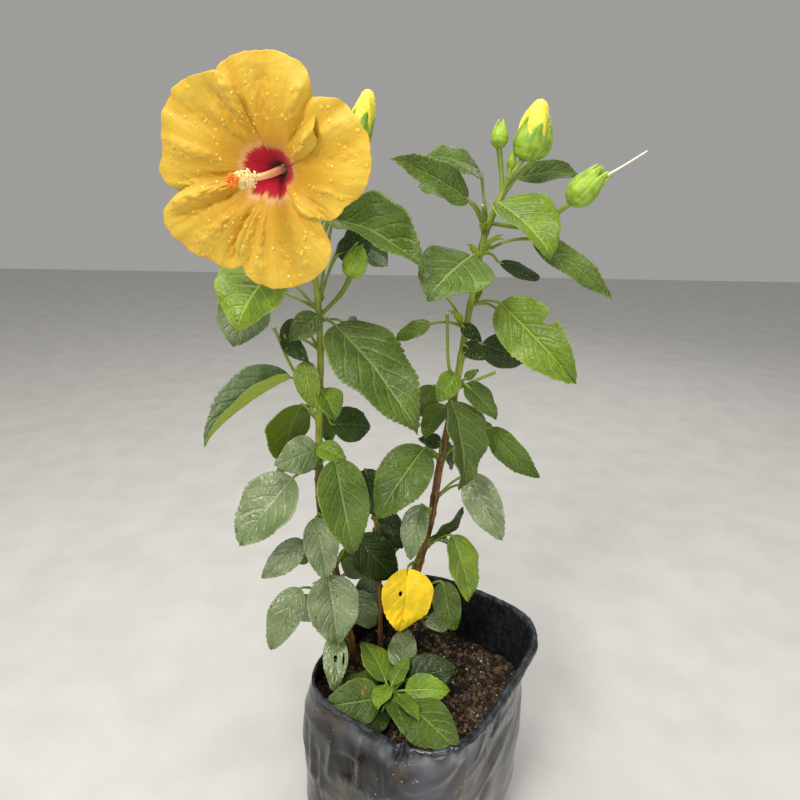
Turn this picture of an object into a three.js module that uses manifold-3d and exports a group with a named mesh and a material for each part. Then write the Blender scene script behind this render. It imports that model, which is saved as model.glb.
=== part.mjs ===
// Hibiscus shrub in its grow bag, in millimetres, +Z up, the origin at the
// middle of the bag's flat underside. Three stems and a basal rosette rise from
// the potting mix; leaf sprays, one open bloom and its buds sit on their joints.

import * as THREE from 'three';
import Module from 'manifold-3d';

const wasm = await Module();
wasm.setup();

// Driving dimensions

const CLEAR = 0.3;                 // gap between neighbouring solids
const BAG = {
  across: 88, along: 97,           // half widths of the filled body
  turn: -35,                       // the bag stands turned by this many degrees
  corner: 3.9,                     // squareness of the rounded plan
  wall: 1.4,
  rimMean: 210, rimRise: 14, rimHighAt: 42,
  rimLean: 6,                      // the rim stands this far towards +X of the foot
  floor: 1.8,
  sides: 28,
};
// height and share of the half width of each level of the bag's wall
const BAG_LEVELS = [[0, 0.86], [7, 0.95], [45, 1.02], [110, 1.04], [168, 1.015]];
const RIM_SHARE = 0.99;
const SOIL = { top: 168, flat: 62, middle: [-34, 14], lump: 3.2, edgeDrop: 5 };

const STEM_SIDES = 7;
const PETIOLE = { start: 1.3, end: 1.0, sides: 3, arch: 0.1, sink: 7 };
const BLADE = {
  thick: 1.1,
  widestAt: 0.36,                  // share of the length from the base
  arch: 0.06,                      // height of the midrib's bow, by length
  small: 30,                       // shorter blades take fewer stations
};
// The young leaflet that starts in a joint.
const AXIL = {
  stalk: 4, length: 12, lengthSpread: 9,
  width: 0.55, widestAt: 0.4,
  rise: 15, riseSpread: 45, spread: 70,
  clear: 17,                       // distance kept from the leaves of other joints
};
const BLADE_STATIONS = [0.07, 0.24, 0.46, 0.74];
const SMALL_STATIONS = [0.14, 0.45, 0.76];

const COLOURS = {
  bag: 0x17181a, soil: 0x3b2b20, bark: 0x6d5a3a, green: 0x6f8a3a,
  young: 0x86b52f, bright: 0x93c22f, ripe: 0x4f7f36, grey: 0x6f8d68,
  dark: 0x2f5226, under: 0x8aa53c, yellow: 0xf5b51e, petal: 0xf2b632,
  calyx: 0x7fa63a,
};

// Each stem: points of its centre line from the cut at the soil, and the
// radius at the foot and at the tip.
const STEMS = {
  left_stem: {
    path: [[-62, 33, 168.3], [-66, 32, 184], [-82, 28, 281], [-94, 22, 352], [-92, 12, 440],
      [-87, -2, 515], [-88, -14, 575], [-94, -20, 606]],
    foot: 4.6, tip: 2.2, colour: COLOURS.bark,
  },
  right_stem: {
    path: [[-18, 34, 168.3], [-19, 33, 189], [1, 28, 298], [10, 26, 345], [16, 22, 401],
      [25, 17, 465], [34, 10, 547], [43, 3, 612], [53, 1, 638]],
    foot: 4.9, tip: 2.2, colour: COLOURS.bark,
  },
  middle_stem: {
    path: [[-37, 40, 168.3], [-38, 41, 190], [-39, 45, 250], [-43, 50, 320], [-48, 54, 372]],
    foot: 3.2, tip: 1.5, colour: COLOURS.bark,
  },
  basal_stem: {
    path: [[-25, -27, 168.3], [-25, -27, 176], [-25, -27, 187]],
    foot: 2.6, tip: 1.8, colour: COLOURS.green,
  },
};

// Leaf sprays. A spray grows from one joint of a stem, at the height given.
// Each leaf is a row: the way its stalk leaves the stem (degrees round the
// stem), the stalk's reach out and rise up to the blade's foot; the way the
// blade points, its pitch from level, its length, width, the roll about its
// midrib, the fold of its halves, and its tone.
const LENGTH = 5;                  // place of the length in a row
const TONE = 9;
const SPRAYS = {
  left_spray_01: ['left_stem', 550, [
    [194, 34, 29, 225, -50, 53, 68, 19, 17, 'young'],
    [174, 58, 12, 211, -74, 46, 45, 95, 0, 'grey']]],
  left_spray_02: ['left_stem', 556, [
    [355, 14, 61, 319, -17, 91, 55, -28, 34, 'ripe'],
    [35, 18, 34, 35, 20, 36, 22, -75, 10, 'dark'],
    [55, 32, 44, 50, -20, 60, 36, -60, 14, 'ripe']]],
  left_spray_03: ['left_stem', 516, [
    [271, 10, 29, 209, -36, 30, 22, 52, 15, 'ripe'],
    [155, 20, 20, 155, -40, 26, 16, 100, 8, 'dark'],
    [187, 29, 11, 333, -38, 30, 16, -61, 12, 'dark']]],
  left_spray_04: ['left_stem', 540, [
    [311, 22, 0, 322, -39, 106, 56, -23, 11, 'ripe'],
    [50, 34, -10, 55, -45, 82, 52, -30, 14, 'ripe']]],
  left_spray_05: ['left_stem', 449, [
    [213, 24, 42, 211, -30, 88, 54, 18, 64, 'young'],
    [155, 18, 11, 189, -73, 61, 54, -45, 10, 'under'],
    [125, 44, -6, 125, -50, 68, 42, 30, 14, 'dark']]],
  left_spray_06: ['left_stem', 478, [
    [229, 16, 28, 310, -70, 39, 22, -41, 14, 'young'],
    [278, 12, 4, 323, -54, 28, 31, -3, 21, 'bright']]],
  left_spray_07: ['left_stem', 458, [
    [60, 12, -4, 80, -85, 32, 22, 20, 8, 'dark'],
    [44, 13, -16, 40, -14, 45, 33, -65, 9, 'dark']]],
  left_spray_08: ['left_stem', 400, [
    [273, 11, 24, 219, -7, 41, 33, 71, 0, 'grey'],
    [217, 26, -3, 211, -45, 75, 52, 34, 18, 'grey'],
    [140, 38, -10, 140, -50, 84, 54, 30, 12, 'ripe']]],
  left_spray_09: ['left_stem', 405, [
    [277, 12, 21, 338, -18, 29, 20, -36, 13, 'bright'],
    [307, 29, 14, 301, -65, 83, 45, -9, 15, 'ripe']]],
  left_spray_10: ['left_stem', 387, [
    [70, 36, -18, 75, -60, 88, 54, -20, 14, 'dark']]],
  left_spray_11: ['left_stem', 312, [
    [214, 27, 16, 204, -38, 51, 27, 65, 18, 'grey'],
    [165, 20, -16, 165, -20, 18, 12, 60, 10, 'ripe']]],
  left_spray_12: ['left_stem', 340, [
    [256, 16, 14, 307, -75, 61, 33, -21, 17, 'grey']]],
  left_spray_13: ['left_stem', 289, [
    [15, 22, 30, 20, -55, 72, 44, -85, 14, 'dark'],
    [80, 22, -4, 40, -40, 48, 36, -60, 10, 'grey']]],
  left_spray_14: ['left_stem', 248, [
    [196, 41, 21, 216, -59, 68, 34, 37, 14, 'grey'],
    [160, 32, -4, 160, -65, 42, 34, 100, 10, 'grey']]],
  left_spray_15: ['left_stem', 257, [
    [249, 24, 36, 294, -69, 68, 51, -7, 16, 'grey']]],
  left_spray_16: ['left_stem', 197, [
    [245, 29, 27, 272, -46, 50, 25, -4, 14, 'grey']]],
  left_spray_17: ['left_stem', 236, [
    [55, 16, 12, 0, -65, 50, 32, -75, 10, 'grey'],
    [65, 22, 6, 40, -30, 48, 40, -60, 10, 'grey'],
    [115, 38, 4, 100, -35, 56, 38, 10, 12, 'ripe']]],
  left_spray_18: ['left_stem', 594, [
    [100, 24, 24, 105, 5, 60, 38, 10, 12, 'ripe'],
    [60, 24, 26, 45, 5, 44, 30, -10, 12, 'young']]],
  middle_spray_01: ['middle_stem', 359, [
    [245, 16, 30, 325, -70, 50, 32, -45, 15, 'dark'],
    [90, 24, -8, 85, -60, 56, 36, 0, 15, 'dark']]],
  middle_spray_02: ['middle_stem', 325, [
    [290, 14, 20, 345, -45, 34, 20, -60, 15, 'dark'],
    [75, 26, -10, 75, -65, 70, 44, -10, 15, 'ripe']]],
  middle_spray_03: ['middle_stem', 297, [
    [60, 12, 28, 355, -60, 40, 24, -70, 15, 'dark']]],
  right_spray_01: ['right_stem', 616, [
    [162, 9, 37, 213, 10, 50, 30, 43, 7, 'ripe'],
    [135, 28, 20, 130, 10, 52, 32, 30, 14, 'ripe']]],
  right_spray_02: ['right_stem', 610, [
    [223, 23, 23, 213, 22, 70, 26, 72, 17, 'ripe']]],
  right_spray_03: ['right_stem', 599, [
    [301, 16, 32, 316, -35, 61, 61, -11, 23, 'young']]],
  right_spray_04: ['right_stem', 609, [
    [37, 31, 40, 20, 5, 58, 22, -47, 16, 'ripe']]],
  right_spray_05: ['right_stem', 593, [
    [346, 40, 12, 343, -33, 75, 21, -60, 14, 'ripe'],
    [48, 29, -9, 33, -19, 52, 12, -86, 13, 'dark']]],
  right_spray_06: ['right_stem', 586, [
    [250, 22, 7, 233, -23, 62, 57, 22, 0, 'ripe']]],
  right_spray_07: ['right_stem', 552, [
    [328, 26, 4, 330, -40, 86, 45, -65, 15, 'young'],
    [45, 46, -14, 40, -35, 74, 46, -30, 14, 'ripe']]],
  right_spray_08: ['right_stem', 533, [
    [187, 30, 3, 161, -29, 36, 15, 67, 17, 'under'],
    [244, 10, 3, 328, -31, 21, 12, -59, 11, 'dark'],
    [150, 26, 28, 70, 40, 36, 22, -20, 12, 'ripe']]],
  right_spray_09: ['right_stem', 506, [
    [275, 12, 14, 330, -25, 22, 16, -65, 15, 'dark'],
    [25, 20, 10, 20, -20, 50, 30, -85, 15, 'dark']]],
  right_spray_10: ['right_stem', 466, [
    [269, 13, 29, 228, -40, 30, 21, 51, 6, 'bright'],
    [153, 19, 11, 152, -64, 36, 24, 95, 18, 'under'],
    [231, 11, -1, 213, -50, 34, 26, 8, 15, 'ripe']]],
  right_spray_11: ['right_stem', 480, [
    [330, 8, 8, 350, 40, 14, 8, -80, 10, 'young'],
    [304, 12, 5, 346, -44, 40, 24, -38, 13, 'ripe']]],
  right_spray_12: ['right_stem', 460, [
    [262, 25, 14, 295, -70, 74, 55, 24, 21, 'ripe'],
    [70, 36, -12, 70, -55, 86, 54, -20, 14, 'ripe']]],
  right_spray_13: ['right_stem', 410, [
    [255, 8, 18, 210, 20, 24, 14, 75, 12, 'dark'],
    [227, 24, 17, 211, -50, 74, 46, 42, 14, 'ripe'],
    [120, 34, -14, 115, -55, 82, 50, 20, 14, 'dark']]],
  right_spray_14: ['right_stem', 411, [
    [9, 44, 26, 339, -41, 63, 26, -83, 14, 'ripe'],
    [65, 10, 6, 35, -70, 28, 20, -60, 8, 'dark']]],
  right_spray_15: ['right_stem', 368, [
    [344, 32, 29, 320, -55, 66, 33, -58, 13, 'grey'],
    [45, 48, -4, 55, -55, 82, 52, -30, 14, 'ripe']]],
  right_spray_16: ['right_stem', 350, [
    [236, 20, 18, 239, -70, 52, 26, 12, 16, 'grey']]],
  right_spray_17: ['right_stem', 312, [
    [330, 8, 12, 350, 50, 46, 20, -130, 20, 'dark'],
    [339, 28, 20, 315, -67, 67, 35, -11, 20, 'young'],
    [55, 42, -16, 60, -50, 74, 48, -20, 14, 'ripe']]],
  right_spray_18: ['right_stem', 253, [
    [336, 34, 28, 312, -68, 51, 28, -43, 13, 'ripe']]],
  right_spray_19: ['right_stem', 220, [
    [345, 46, 14, 215, 15, 30, 22, 50, 10, 'grey']]],
  yellow_leaf: ['right_stem', 296, [
    [248, 33, 12, 247, -75, 62, 51, 38, 14, 'yellow']]],
  right_spray_20: ['right_stem', 273, [
    [100, 22, -6, 100, -45, 66, 44, 15, 14, 'dark']]],
  basal_rosette: ['basal_stem', 184, [
    [126, 9, 8, 124, 19, 48, 33, -15, 8, 'bright'],
    [81, 4, 8, 48, 31, 30, 19, 9, 11, 'bright'],
    [343, 14, 9, 357, 4, 42, 29, -50, 12, 'bright'],
    [310, 9, 7, 300, 9, 40, 17, 11, 7, 'bright'],
    [201, 6, 13, 256, -2, 27, 20, -13, 5, 'bright'],
    [275, 11, 6, 288, -1, 40, 20, 7, 0, 'ripe'],
    [216, 13, 3, 194, 2, 54, 40, 45, 10, 'ripe'],
    [317, 22, 5, 309, 2, 68, 44, -12, 0, 'ripe'],
    [41, 18, 6, 4, 16, 51, 39, -30, 11, 'dark'],
    [67, 21, 13, 84, 17, 45, 30, 5, 18, 'grey'],
    [150, 16, 0, 165, -3, 36, 30, 0, 10, 'ripe'],
    [236, 14, -8, 250, -5, 32, 24, 0, 10, 'dark']]],
};

// The open bloom: its throat, the way it faces, and its petals. Each petal has
// the clock angle of its axis, its length, its half spread in degrees, and the
// share of the length that its sides fall short by.
const BLOOM = {
  throat: [-100, -62, 650], faces: 258, nods: -10,
  funnel: 35,                      // depth from the rim of the petals to their foot
  throatWidth: 16,                 // the funnel flattens out over this reach
  thick: 1.2,
  column: 62, columnRadius: 1.9,
  calyxBack: 32, calyxRadius: 8,
  sunk: 6,                         // the petals start this far down in the calyx
  swirl: 5,                        // one side of each petal lies this far over the next
  wave: 2.5,                       // height of the ruffles along a petal's edge
};
const PETALS = [
  [84, 66, 43, 0.24], [155, 71, 46, 0.2], [221, 75, 37, 0.2], [281, 71, 38, 0.32],
  [4, 67, 54, 0.3],
];
const PETAL_STATIONS = [0.06, 0.35, 0.72, 1];
const PETAL_COLUMNS = [-1, -0.7, -0.35, 0, 0.35, 0.7, 1];

// Buds: the stem and height their stalk leaves from, a bend in the stalk, the
// bud's foot and tip, its greatest radius, and the share of it that is petals.
const BUDS = {
  left_green_bud: [['left_stem', 543, [-68, -13, 563], [-61, -14, 575], [-52, -16, 601], 9, 0]],
  left_yellow_bud: [['left_stem', 585, [-72, -14, 628], [-57, -20, 664], [-46, -24, 702], 9, 0.5]],
  right_side_bud: [['right_stem', 616, [80, 8, 614], [103, -6, 631], [125, -10, 658], 11, 0]],
  top_buds: [
    ['right_stem', 640, [57, -1, 648], [66, -4, 661], [75, -8, 700], 11, 0.6],
    ['right_stem', 640, [64, 5, 650], [79, 12, 663], [85, 13, 693], 8, 0],
    ['right_stem', 640, [51, 2, 654], [48, 2, 669], [49, 2, 689], 6, 0]],
};

// The style left standing in the calyx of a fallen bloom.
const STYLE = { node: 'right_side_bud', from: [115, -8, 645], to: [152, -14, 668], radius: 0.9 };

// Bare stalks whose leaves have fallen: stem, height, and end.
const BARE_STALKS = {
  left_bare_stalk: ['left_stem', 462, [[-111, 8, 493], [-123, -8, 534]]],
  right_bare_stalk: ['right_stem', 484, [[19, 2, 500], [15, -2, 546]]],
};

// Small helpers

const rad = THREE.MathUtils.degToRad;
const vec = (x, y, z) => new THREE.Vector3(x, y, z);

function heading(azimuth, pitch) {
  return vec(
    Math.cos(rad(pitch)) * Math.cos(rad(azimuth)),
    Math.cos(rad(pitch)) * Math.sin(rad(azimuth)),
    Math.sin(rad(pitch)),
  );
}

function along(start, direction, distance) {
  return start.clone().addScaledVector(direction, distance);
}

// A closed skin over a row of rings. A ring is a list of points, or one point
// where the skin closes.
function skin(rings) {
  const vertices = [];
  const triangles = [];
  const starts = rings.map((ring) => {
    const start = vertices.length / 3;
    ring.forEach((p) => vertices.push(p.x, p.y, p.z));
    return start;
  });
  for (let i = 0; i + 1 < rings.length; i += 1) {
    const [low, high] = [rings[i], rings[i + 1]];
    const count = Math.max(low.length, high.length);
    for (let k = 0; k < count; k += 1) {
      const next = (k + 1) % count;
      const a = starts[i] + (low.length > 1 ? k : 0);
      const b = starts[i] + (low.length > 1 ? next : 0);
      const c = starts[i + 1] + (high.length > 1 ? next : 0);
      const d = starts[i + 1] + (high.length > 1 ? k : 0);
      if (low.length > 1) triangles.push(a, b, c);
      if (high.length > 1) triangles.push(a, c, d);
    }
  }
  return solid(vertices, triangles);
}

function solid(vertices, triangles) {
  return new wasm.Manifold(new wasm.Mesh({
    numProp: 3,
    vertProperties: new Float32Array(vertices),
    triVerts: new Uint32Array(triangles),
  }));
}

// A tapering limb along a smooth line; with flatFoot its foot is cut level.
function limb(points, startRadius, endRadius, sides, steps, flatFoot = false) {
  const curve = new THREE.CatmullRomCurve3(points, false, 'centripetal');
  const frames = curve.computeFrenetFrames(steps, false);
  const rings = [[curve.getPointAt(0)]];
  for (let i = 0; i <= steps; i += 1) {
    const share = i / steps;
    const centre = curve.getPointAt(share);
    const radius = startRadius + (endRadius - startRadius) * share;
    const ring = [];
    for (let k = 0; k < sides; k += 1) {
      const angle = (2 * Math.PI * k) / sides;
      const point = centre.clone()
        .addScaledVector(frames.normals[i], radius * Math.cos(angle))
        .addScaledVector(frames.binormals[i], radius * Math.sin(angle));
      if (flatFoot && i === 0) point.z = centre.z;
      ring.push(point);
    }
    rings.push(ring);
  }
  rings.push([curve.getPointAt(1)]);
  return skin(rings);
}

function fuse(solids) {
  return solids.reduce((whole, piece) => whole.add(piece));
}

// The largest body of a solid; loose scrap from a cut is dropped.
function largest(whole) {
  const bodies = whole.decompose();
  return bodies.reduce((best, body) => (body.volume() > best.volume() ? body : best));
}

// Grow bag and potting mix

function planRadius(angle, inset) {
  const local = angle - rad(BAG.turn);
  const a = Math.abs(Math.cos(local)) / (BAG.across - inset);
  const b = Math.abs(Math.sin(local)) / (BAG.along - inset);
  return (a ** BAG.corner + b ** BAG.corner) ** (-1 / BAG.corner);
}

function planRing(share, inset, heightAt, lean = 0) {
  const ring = [];
  for (let k = 0; k < BAG.sides; k += 1) {
    const angle = (2 * Math.PI * k) / BAG.sides;
    const radius = planRadius(angle, 0) * share - inset;
    ring.push(vec(lean + radius * Math.cos(angle), radius * Math.sin(angle), heightAt(angle)));
  }
  return ring;
}

function rimHeight(angle) {
  return BAG.rimMean + BAG.rimRise * Math.cos(angle - rad(BAG.rimHighAt));
}

function growBag() {
  const outer = BAG_LEVELS.map(([z, share]) => planRing(share, 0, () => z));
  const inner = BAG_LEVELS.slice(1).map(([z, share]) => planRing(share, BAG.wall, () => z));
  const floor = planRing(BAG_LEVELS[0][1], BAG.wall, () => BAG.floor);
  return skin([
    [vec(0, 0, 0)],
    ...outer,
    planRing(RIM_SHARE, 0, rimHeight, BAG.rimLean),
    planRing(RIM_SHARE, BAG.wall, rimHeight, BAG.rimLean),
    ...inner.reverse(),
    floor,
    [vec(0, 0, BAG.floor)],
  ]);
}

function soilTop(x, y) {
  const away = Math.hypot(x - SOIL.middle[0], y - SOIL.middle[1]);
  const rough = Math.min(1, Math.max(0, (away - SOIL.flat) / 30));
  const lumps = Math.sin(x * 0.13 + y * 0.05) * Math.cos(y * 0.11 - x * 0.04);
  return SOIL.top + rough * (SOIL.lump * lumps - SOIL.edgeDrop);
}

function pottingMix() {
  const inset = BAG.wall + CLEAR;
  const bottom = BAG.floor + CLEAR;
  const walls = BAG_LEVELS.slice(1, -1).map(([z, share]) => planRing(share, inset, () => z));
  const [, topShare] = BAG_LEVELS[BAG_LEVELS.length - 1];
  const crown = [1, 0.78, 0.5].map((part) => {
    const ring = planRing(topShare * part, inset, () => 0);
    ring.forEach((p) => { p.z = soilTop(p.x, p.y) - (part === 1 ? 2 : 0); });
    return ring;
  });
  return skin([
    [vec(0, 0, bottom)],
    planRing(BAG_LEVELS[0][1], inset, () => bottom),
    ...walls,
    ...crown,
    [vec(0, 0, soilTop(0, 0))],
  ]);
}

// Stems

function stemCurve(name) {
  const points = STEMS[name].path.map((p) => vec(...p));
  return new THREE.CatmullRomCurve3(points, false, 'centripetal');
}

function stemSolid(name, extra = 0) {
  const { path, foot, tip } = STEMS[name];
  const points = path.map((p) => vec(...p));
  const steps = 2 * (points.length - 1);
  return limb(points, foot + extra, tip + extra, STEM_SIDES, steps, true);
}

// The stem's centre and radius at a height.
function stemAt(name, height) {
  const curve = stemCurve(name);
  const { foot, tip } = STEMS[name];
  let low = 0;
  let high = 1;
  for (let i = 0; i < 30; i += 1) {
    const middle = (low + high) / 2;
    if (curve.getPointAt(middle).z < height) low = middle;
    else high = middle;
  }
  return { centre: curve.getPointAt(low), radius: foot + (tip - foot) * low };
}

// Leaves

// Half width of a blade at a share of its length, by its greatest half width.
function bladeShare(s) {
  const peak = BLADE.widestAt;
  return (s / peak) ** 0.5 * ((1 - s) / (1 - peak)) ** 0.9;
}

// The ways that a blade points: ahead along its midrib, sideways across it and
// out of its upper face.
function bladeAxes(aim, pitch, roll) {
  const ahead = heading(aim, pitch);
  const level = vec(Math.sin(rad(aim)), -Math.cos(rad(aim)), 0);
  const crown = level.clone().cross(ahead);
  const side = level.clone().multiplyScalar(Math.cos(rad(roll)))
    .addScaledVector(crown, Math.sin(rad(roll)));
  const face = crown.clone().multiplyScalar(Math.cos(rad(roll)))
    .addScaledVector(level, -Math.sin(rad(roll)));
  return { ahead, side, face };
}

// A point of the midrib's bow, at a share of the length.
function midribPoint(foot, { ahead, face }, length, share) {
  const bow = 4 * BLADE.arch * length * share * (1 - share);
  return along(along(foot, ahead, share * length), face, bow);
}

function blade(foot, axes, length, width, fold) {
  const { side, face } = axes;
  const stations = length > BLADE.small ? BLADE_STATIONS : SMALL_STATIONS;
  const half = BLADE.thick / 2 / Math.cos(rad(fold));
  const midrib = (s) => midribPoint(foot, axes, length, s);
  const rings = stations.map((s) => {
    const reach = bladeShare(s) * (width / 2);
    const out = reach * Math.cos(rad(fold));
    const lift = reach * Math.sin(rad(fold));
    const rib = midrib(s);
    const left = along(along(rib, side, -out), face, lift);
    const right = along(along(rib, side, out), face, lift);
    const points = [left, rib, right];
    const under = points.map((p) => along(p, face, -half));
    const upper = points.map((p) => along(p, face, half));
    return [...under, ...upper.reverse()];
  });
  const pointAt = (s) => {
    const rib = midrib(s);
    return [along(rib, face, -half), along(rib, face, half)];
  };
  return bladeSkin(pointAt(0), rings, pointAt(1));
}

// Joins the six-point rings of a blade, and closes it to a short upright edge
// at its foot and at its tip.
function bladeSkin(footEdge, rings, tipEdge) {
  const vertices = [];
  const push = (p) => {
    vertices.push(p.x, p.y, p.z);
    return vertices.length / 3 - 1;
  };
  const triangles = [];
  const quad = (a, b, c, d) => triangles.push(a, c, b, a, d, c);
  const footIds = footEdge.map(push);
  const ringIds = rings.map((ring) => ring.map(push));
  const tipIds = tipEdge.map(push);
  ringIds.slice(1).forEach((upper, i) => {
    const lower = ringIds[i];
    for (let k = 0; k < 6; k += 1) {
      const next = (k + 1) % 6;
      quad(lower[k], lower[next], upper[next], upper[k]);
    }
  });
  const [fb, ft] = footIds;
  const first = ringIds[0];
  triangles.push(fb, first[0], first[1], fb, first[1], first[2]);
  triangles.push(ft, first[3], first[4], ft, first[4], first[5]);
  quad(fb, ft, first[3], first[2]);
  quad(ft, fb, first[0], first[5]);
  const [tb, tt] = tipIds;
  const last = ringIds[ringIds.length - 1];
  triangles.push(tb, last[1], last[0], tb, last[2], last[1]);
  triangles.push(tt, last[4], last[3], tt, last[5], last[4]);
  quad(tt, tb, last[2], last[3]);
  quad(tb, tt, last[5], last[0]);
  return solid(vertices, triangles);
}

// The middle of a joint, and the point just outside the stem where its stalks
// start, on the side that its leaves grow to.
function joint(stem, height, leaves) {
  const { centre, radius } = stemAt(stem, height);
  const side = vec(0, 0, 0);
  leaves.forEach(([turn]) => side.add(heading(turn, 0)));
  side.normalize();
  return { centre, side, start: along(centre, side, radius + PETIOLE.start * 0.6) };
}

function bladeFoot(centre, [turn, reach, rise]) {
  return along(centre, heading(turn, 0), reach).add(vec(0, 0, rise));
}

function stalk(start, foot, sunk, steps) {
  const bend = start.clone().lerp(foot, 0.5);
  bend.z += PETIOLE.arch * foot.distanceTo(start);
  return limb([start, bend, sunk], PETIOLE.start, PETIOLE.end, PETIOLE.sides, steps);
}

// A leaflet of eight faces, for the young shoots in the joints.
function leaflet(foot, ahead, length) {
  const side = vec(0, 0, 1).cross(ahead).normalize();
  const face = ahead.clone().cross(side);
  const middle = along(foot, ahead, length * AXIL.widestAt);
  const half = (length * AXIL.width) / 2;
  const points = [
    foot, along(middle, side, -half), along(foot, ahead, length), along(middle, side, half),
    along(middle, face, BLADE.thick / 2), along(middle, face, -BLADE.thick / 2),
  ];
  const faces = [0, 1, 4, 1, 2, 4, 2, 3, 4, 3, 0, 4, 1, 0, 5, 2, 1, 5, 3, 2, 5, 0, 3, 5];
  return solid(points.flatMap((p) => [p.x, p.y, p.z]), faces);
}

// Seeded numbers from 0 to 1.
function seeded(seed) {
  let state = seed;
  return () => {
    state = (state * 1103515245 + 12345) % 2147483648;
    return state / 2147483648;
  };
}

// Points spread over a leaf, to keep the shoots clear of it.
function leafPoints(centre, row) {
  const [, , , aim, pitch, length] = row;
  const foot = bladeFoot(centre, row);
  return [0, 0.3, 0.6, 0.9].map((s) => along(foot, heading(aim, pitch), s * length));
}

// The young shoot in a joint: a seeded rule turns its leaflet out to the side
// of the stem that the spray grows on, and skips a leaflet that would come near
// the leaves and buds of other joints.
function shoot(seed, { side, start }, others) {
  const random = seeded(seed);
  const sideTurn = THREE.MathUtils.radToDeg(Math.atan2(side.y, side.x));
  const turn = sideTurn + AXIL.spread * (2 * random() - 1);
  const rise = AXIL.rise + AXIL.riseSpread * random();
  const length = AXIL.length + AXIL.lengthSpread * random();
  const ahead = heading(turn, rise);
  const foot = along(start, ahead, AXIL.stalk);
  const reached = [foot, along(foot, ahead, length / 2), along(foot, ahead, length)];
  const crowded = others.some((p) => reached.some((q) => p.distanceTo(q) < AXIL.clear));
  if (crowded || start.z < BAG.rimMean + BAG.rimRise) return [];
  return [stalk(start, foot, along(foot, ahead, length / 4), 1), leaflet(foot, ahead, length)];
}

function spray(name, others) {
  const [stem, height, leaves] = SPRAYS[name];
  const knot = joint(stem, height, leaves);
  const pieces = [];
  leaves.forEach((row) => {
    const [, , , aim, pitch, length, width, roll, fold] = row;
    const foot = bladeFoot(knot.centre, row);
    const axes = bladeAxes(aim, pitch, roll);
    const sunk = midribPoint(foot, axes, length, Math.min(PETIOLE.sink / length, 0.2));
    pieces.push(stalk(knot.start, foot, sunk, 2));
    pieces.push(blade(foot, axes, length, width, fold));
  });
  const seed = Math.round(height * 31 + leaves[0][0]);
  return fuse([...pieces, ...shoot(seed, knot, others)]);
}

// Bloom

function petal(centre, face, right, up, [clock, length, spread, rounding]) {
  const surface = (s, t, offset) => {
    const angle = rad(clock + t * spread);
    const reach = s * length * (1 - rounding * Math.abs(t) ** 3);
    const wave = BLOOM.wave * Math.sin(7 * t + clock) * s * s;
    const opening = BLOOM.funnel * (1 - Math.exp(-reach / BLOOM.throatWidth)) - BLOOM.sunk;
    const height = opening - BLOOM.swirl * t * s + wave;
    const flat = along(along(centre, right, reach * Math.cos(angle)), up, reach * Math.sin(angle));
    return along(flat, face, height + offset);
  };
  const rings = PETAL_STATIONS.map((s) => {
    const back = PETAL_COLUMNS.map((t) => surface(s, t, -BLOOM.thick / 2));
    const front = PETAL_COLUMNS.map((t) => surface(s, t, BLOOM.thick / 2));
    return [...back, ...front.reverse()];
  });
  const count = rings[0].length;
  const vertices = rings.flat().flatMap((p) => [p.x, p.y, p.z]);
  const triangles = [];
  for (let i = 0; i + 1 < rings.length; i += 1) {
    for (let k = 0; k < count; k += 1) {
      const next = (k + 1) % count;
      const low = i * count;
      const high = low + count;
      triangles.push(low + k, low + next, high + next, low + k, high + next, high + k);
    }
  }
  const end = (rings.length - 1) * count;
  for (let k = 0; k + 1 < PETAL_COLUMNS.length; k += 1) {
    const far = count - 1 - k;
    triangles.push(k, far, far - 1, k, far - 1, k + 1);
    triangles.push(end + k, end + far - 1, end + far, end + k, end + k + 1, end + far - 1);
  }
  return solid(vertices, triangles);
}

function bloom() {
  const throat = vec(...BLOOM.throat);
  const face = heading(BLOOM.faces, BLOOM.nods);
  const right = vec(0, 0, 1).cross(face).normalize();
  const up = face.clone().cross(right);
  const foot = along(throat, face, -BLOOM.calyxBack);
  const { centre: stemTip } = stemAt('left_stem', 606);
  const cup = [0, 0.3, 0.7, 1.1].map((s) => along(foot, face, s * BLOOM.calyxBack));
  const pieces = PETALS.map((row) => petal(throat, face, right, up, row));
  pieces.push(limb(cup, 3.5, BLOOM.calyxRadius, 7, 3));
  pieces.push(limb([
    along(throat, face, -4),
    along(along(throat, face, BLOOM.column / 2), up, -1),
    along(along(throat, face, BLOOM.column), right, -4),
  ], BLOOM.columnRadius, BLOOM.columnRadius, 5, 2));
  pieces.push(limb([
    stemTip.clone().add(vec(0, 0, 0.6)),
    stemTip.clone().lerp(foot, 0.5).add(vec(0, 3, 2)),
    along(foot, face, 3),
  ], 2, 2.6, 6, 4));
  return fuse(pieces);
}

// Buds: a calyx that opens on the furled petals, on its stalk.
function bud(start, bend, foot, tip, radius, petals) {
  const axis = tip.clone().sub(foot);
  const length = axis.length();
  axis.normalize();
  const bulge = petals > 0
    ? [[0.02, 0.3], [0.2, 0.9], [0.42, 1], [0.62, 0.72], [0.9, 0.5]]
    : [[0.02, 0.3], [0.2, 0.85], [0.45, 1], [0.7, 0.75], [0.9, 0.3]];
  const side = vec(0, 0, 1).cross(axis).normalize();
  const other = axis.clone().cross(side);
  const rings = bulge.map(([s, share]) => {
    const ring = [];
    for (let k = 0; k < 8; k += 1) {
      const angle = (2 * Math.PI * k) / 8;
      const centre = along(foot, axis, s * length);
      ring.push(along(along(centre, side, radius * share * Math.cos(angle)),
        other, radius * share * Math.sin(angle)));
    }
    return ring;
  });
  const head = skin([[foot.clone()], ...rings, [tip.clone()]]);
  const stem = limb([start, bend, along(foot, axis, 3)], 1.7, 1.8, 5, 4);
  return head.add(stem);
}

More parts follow.
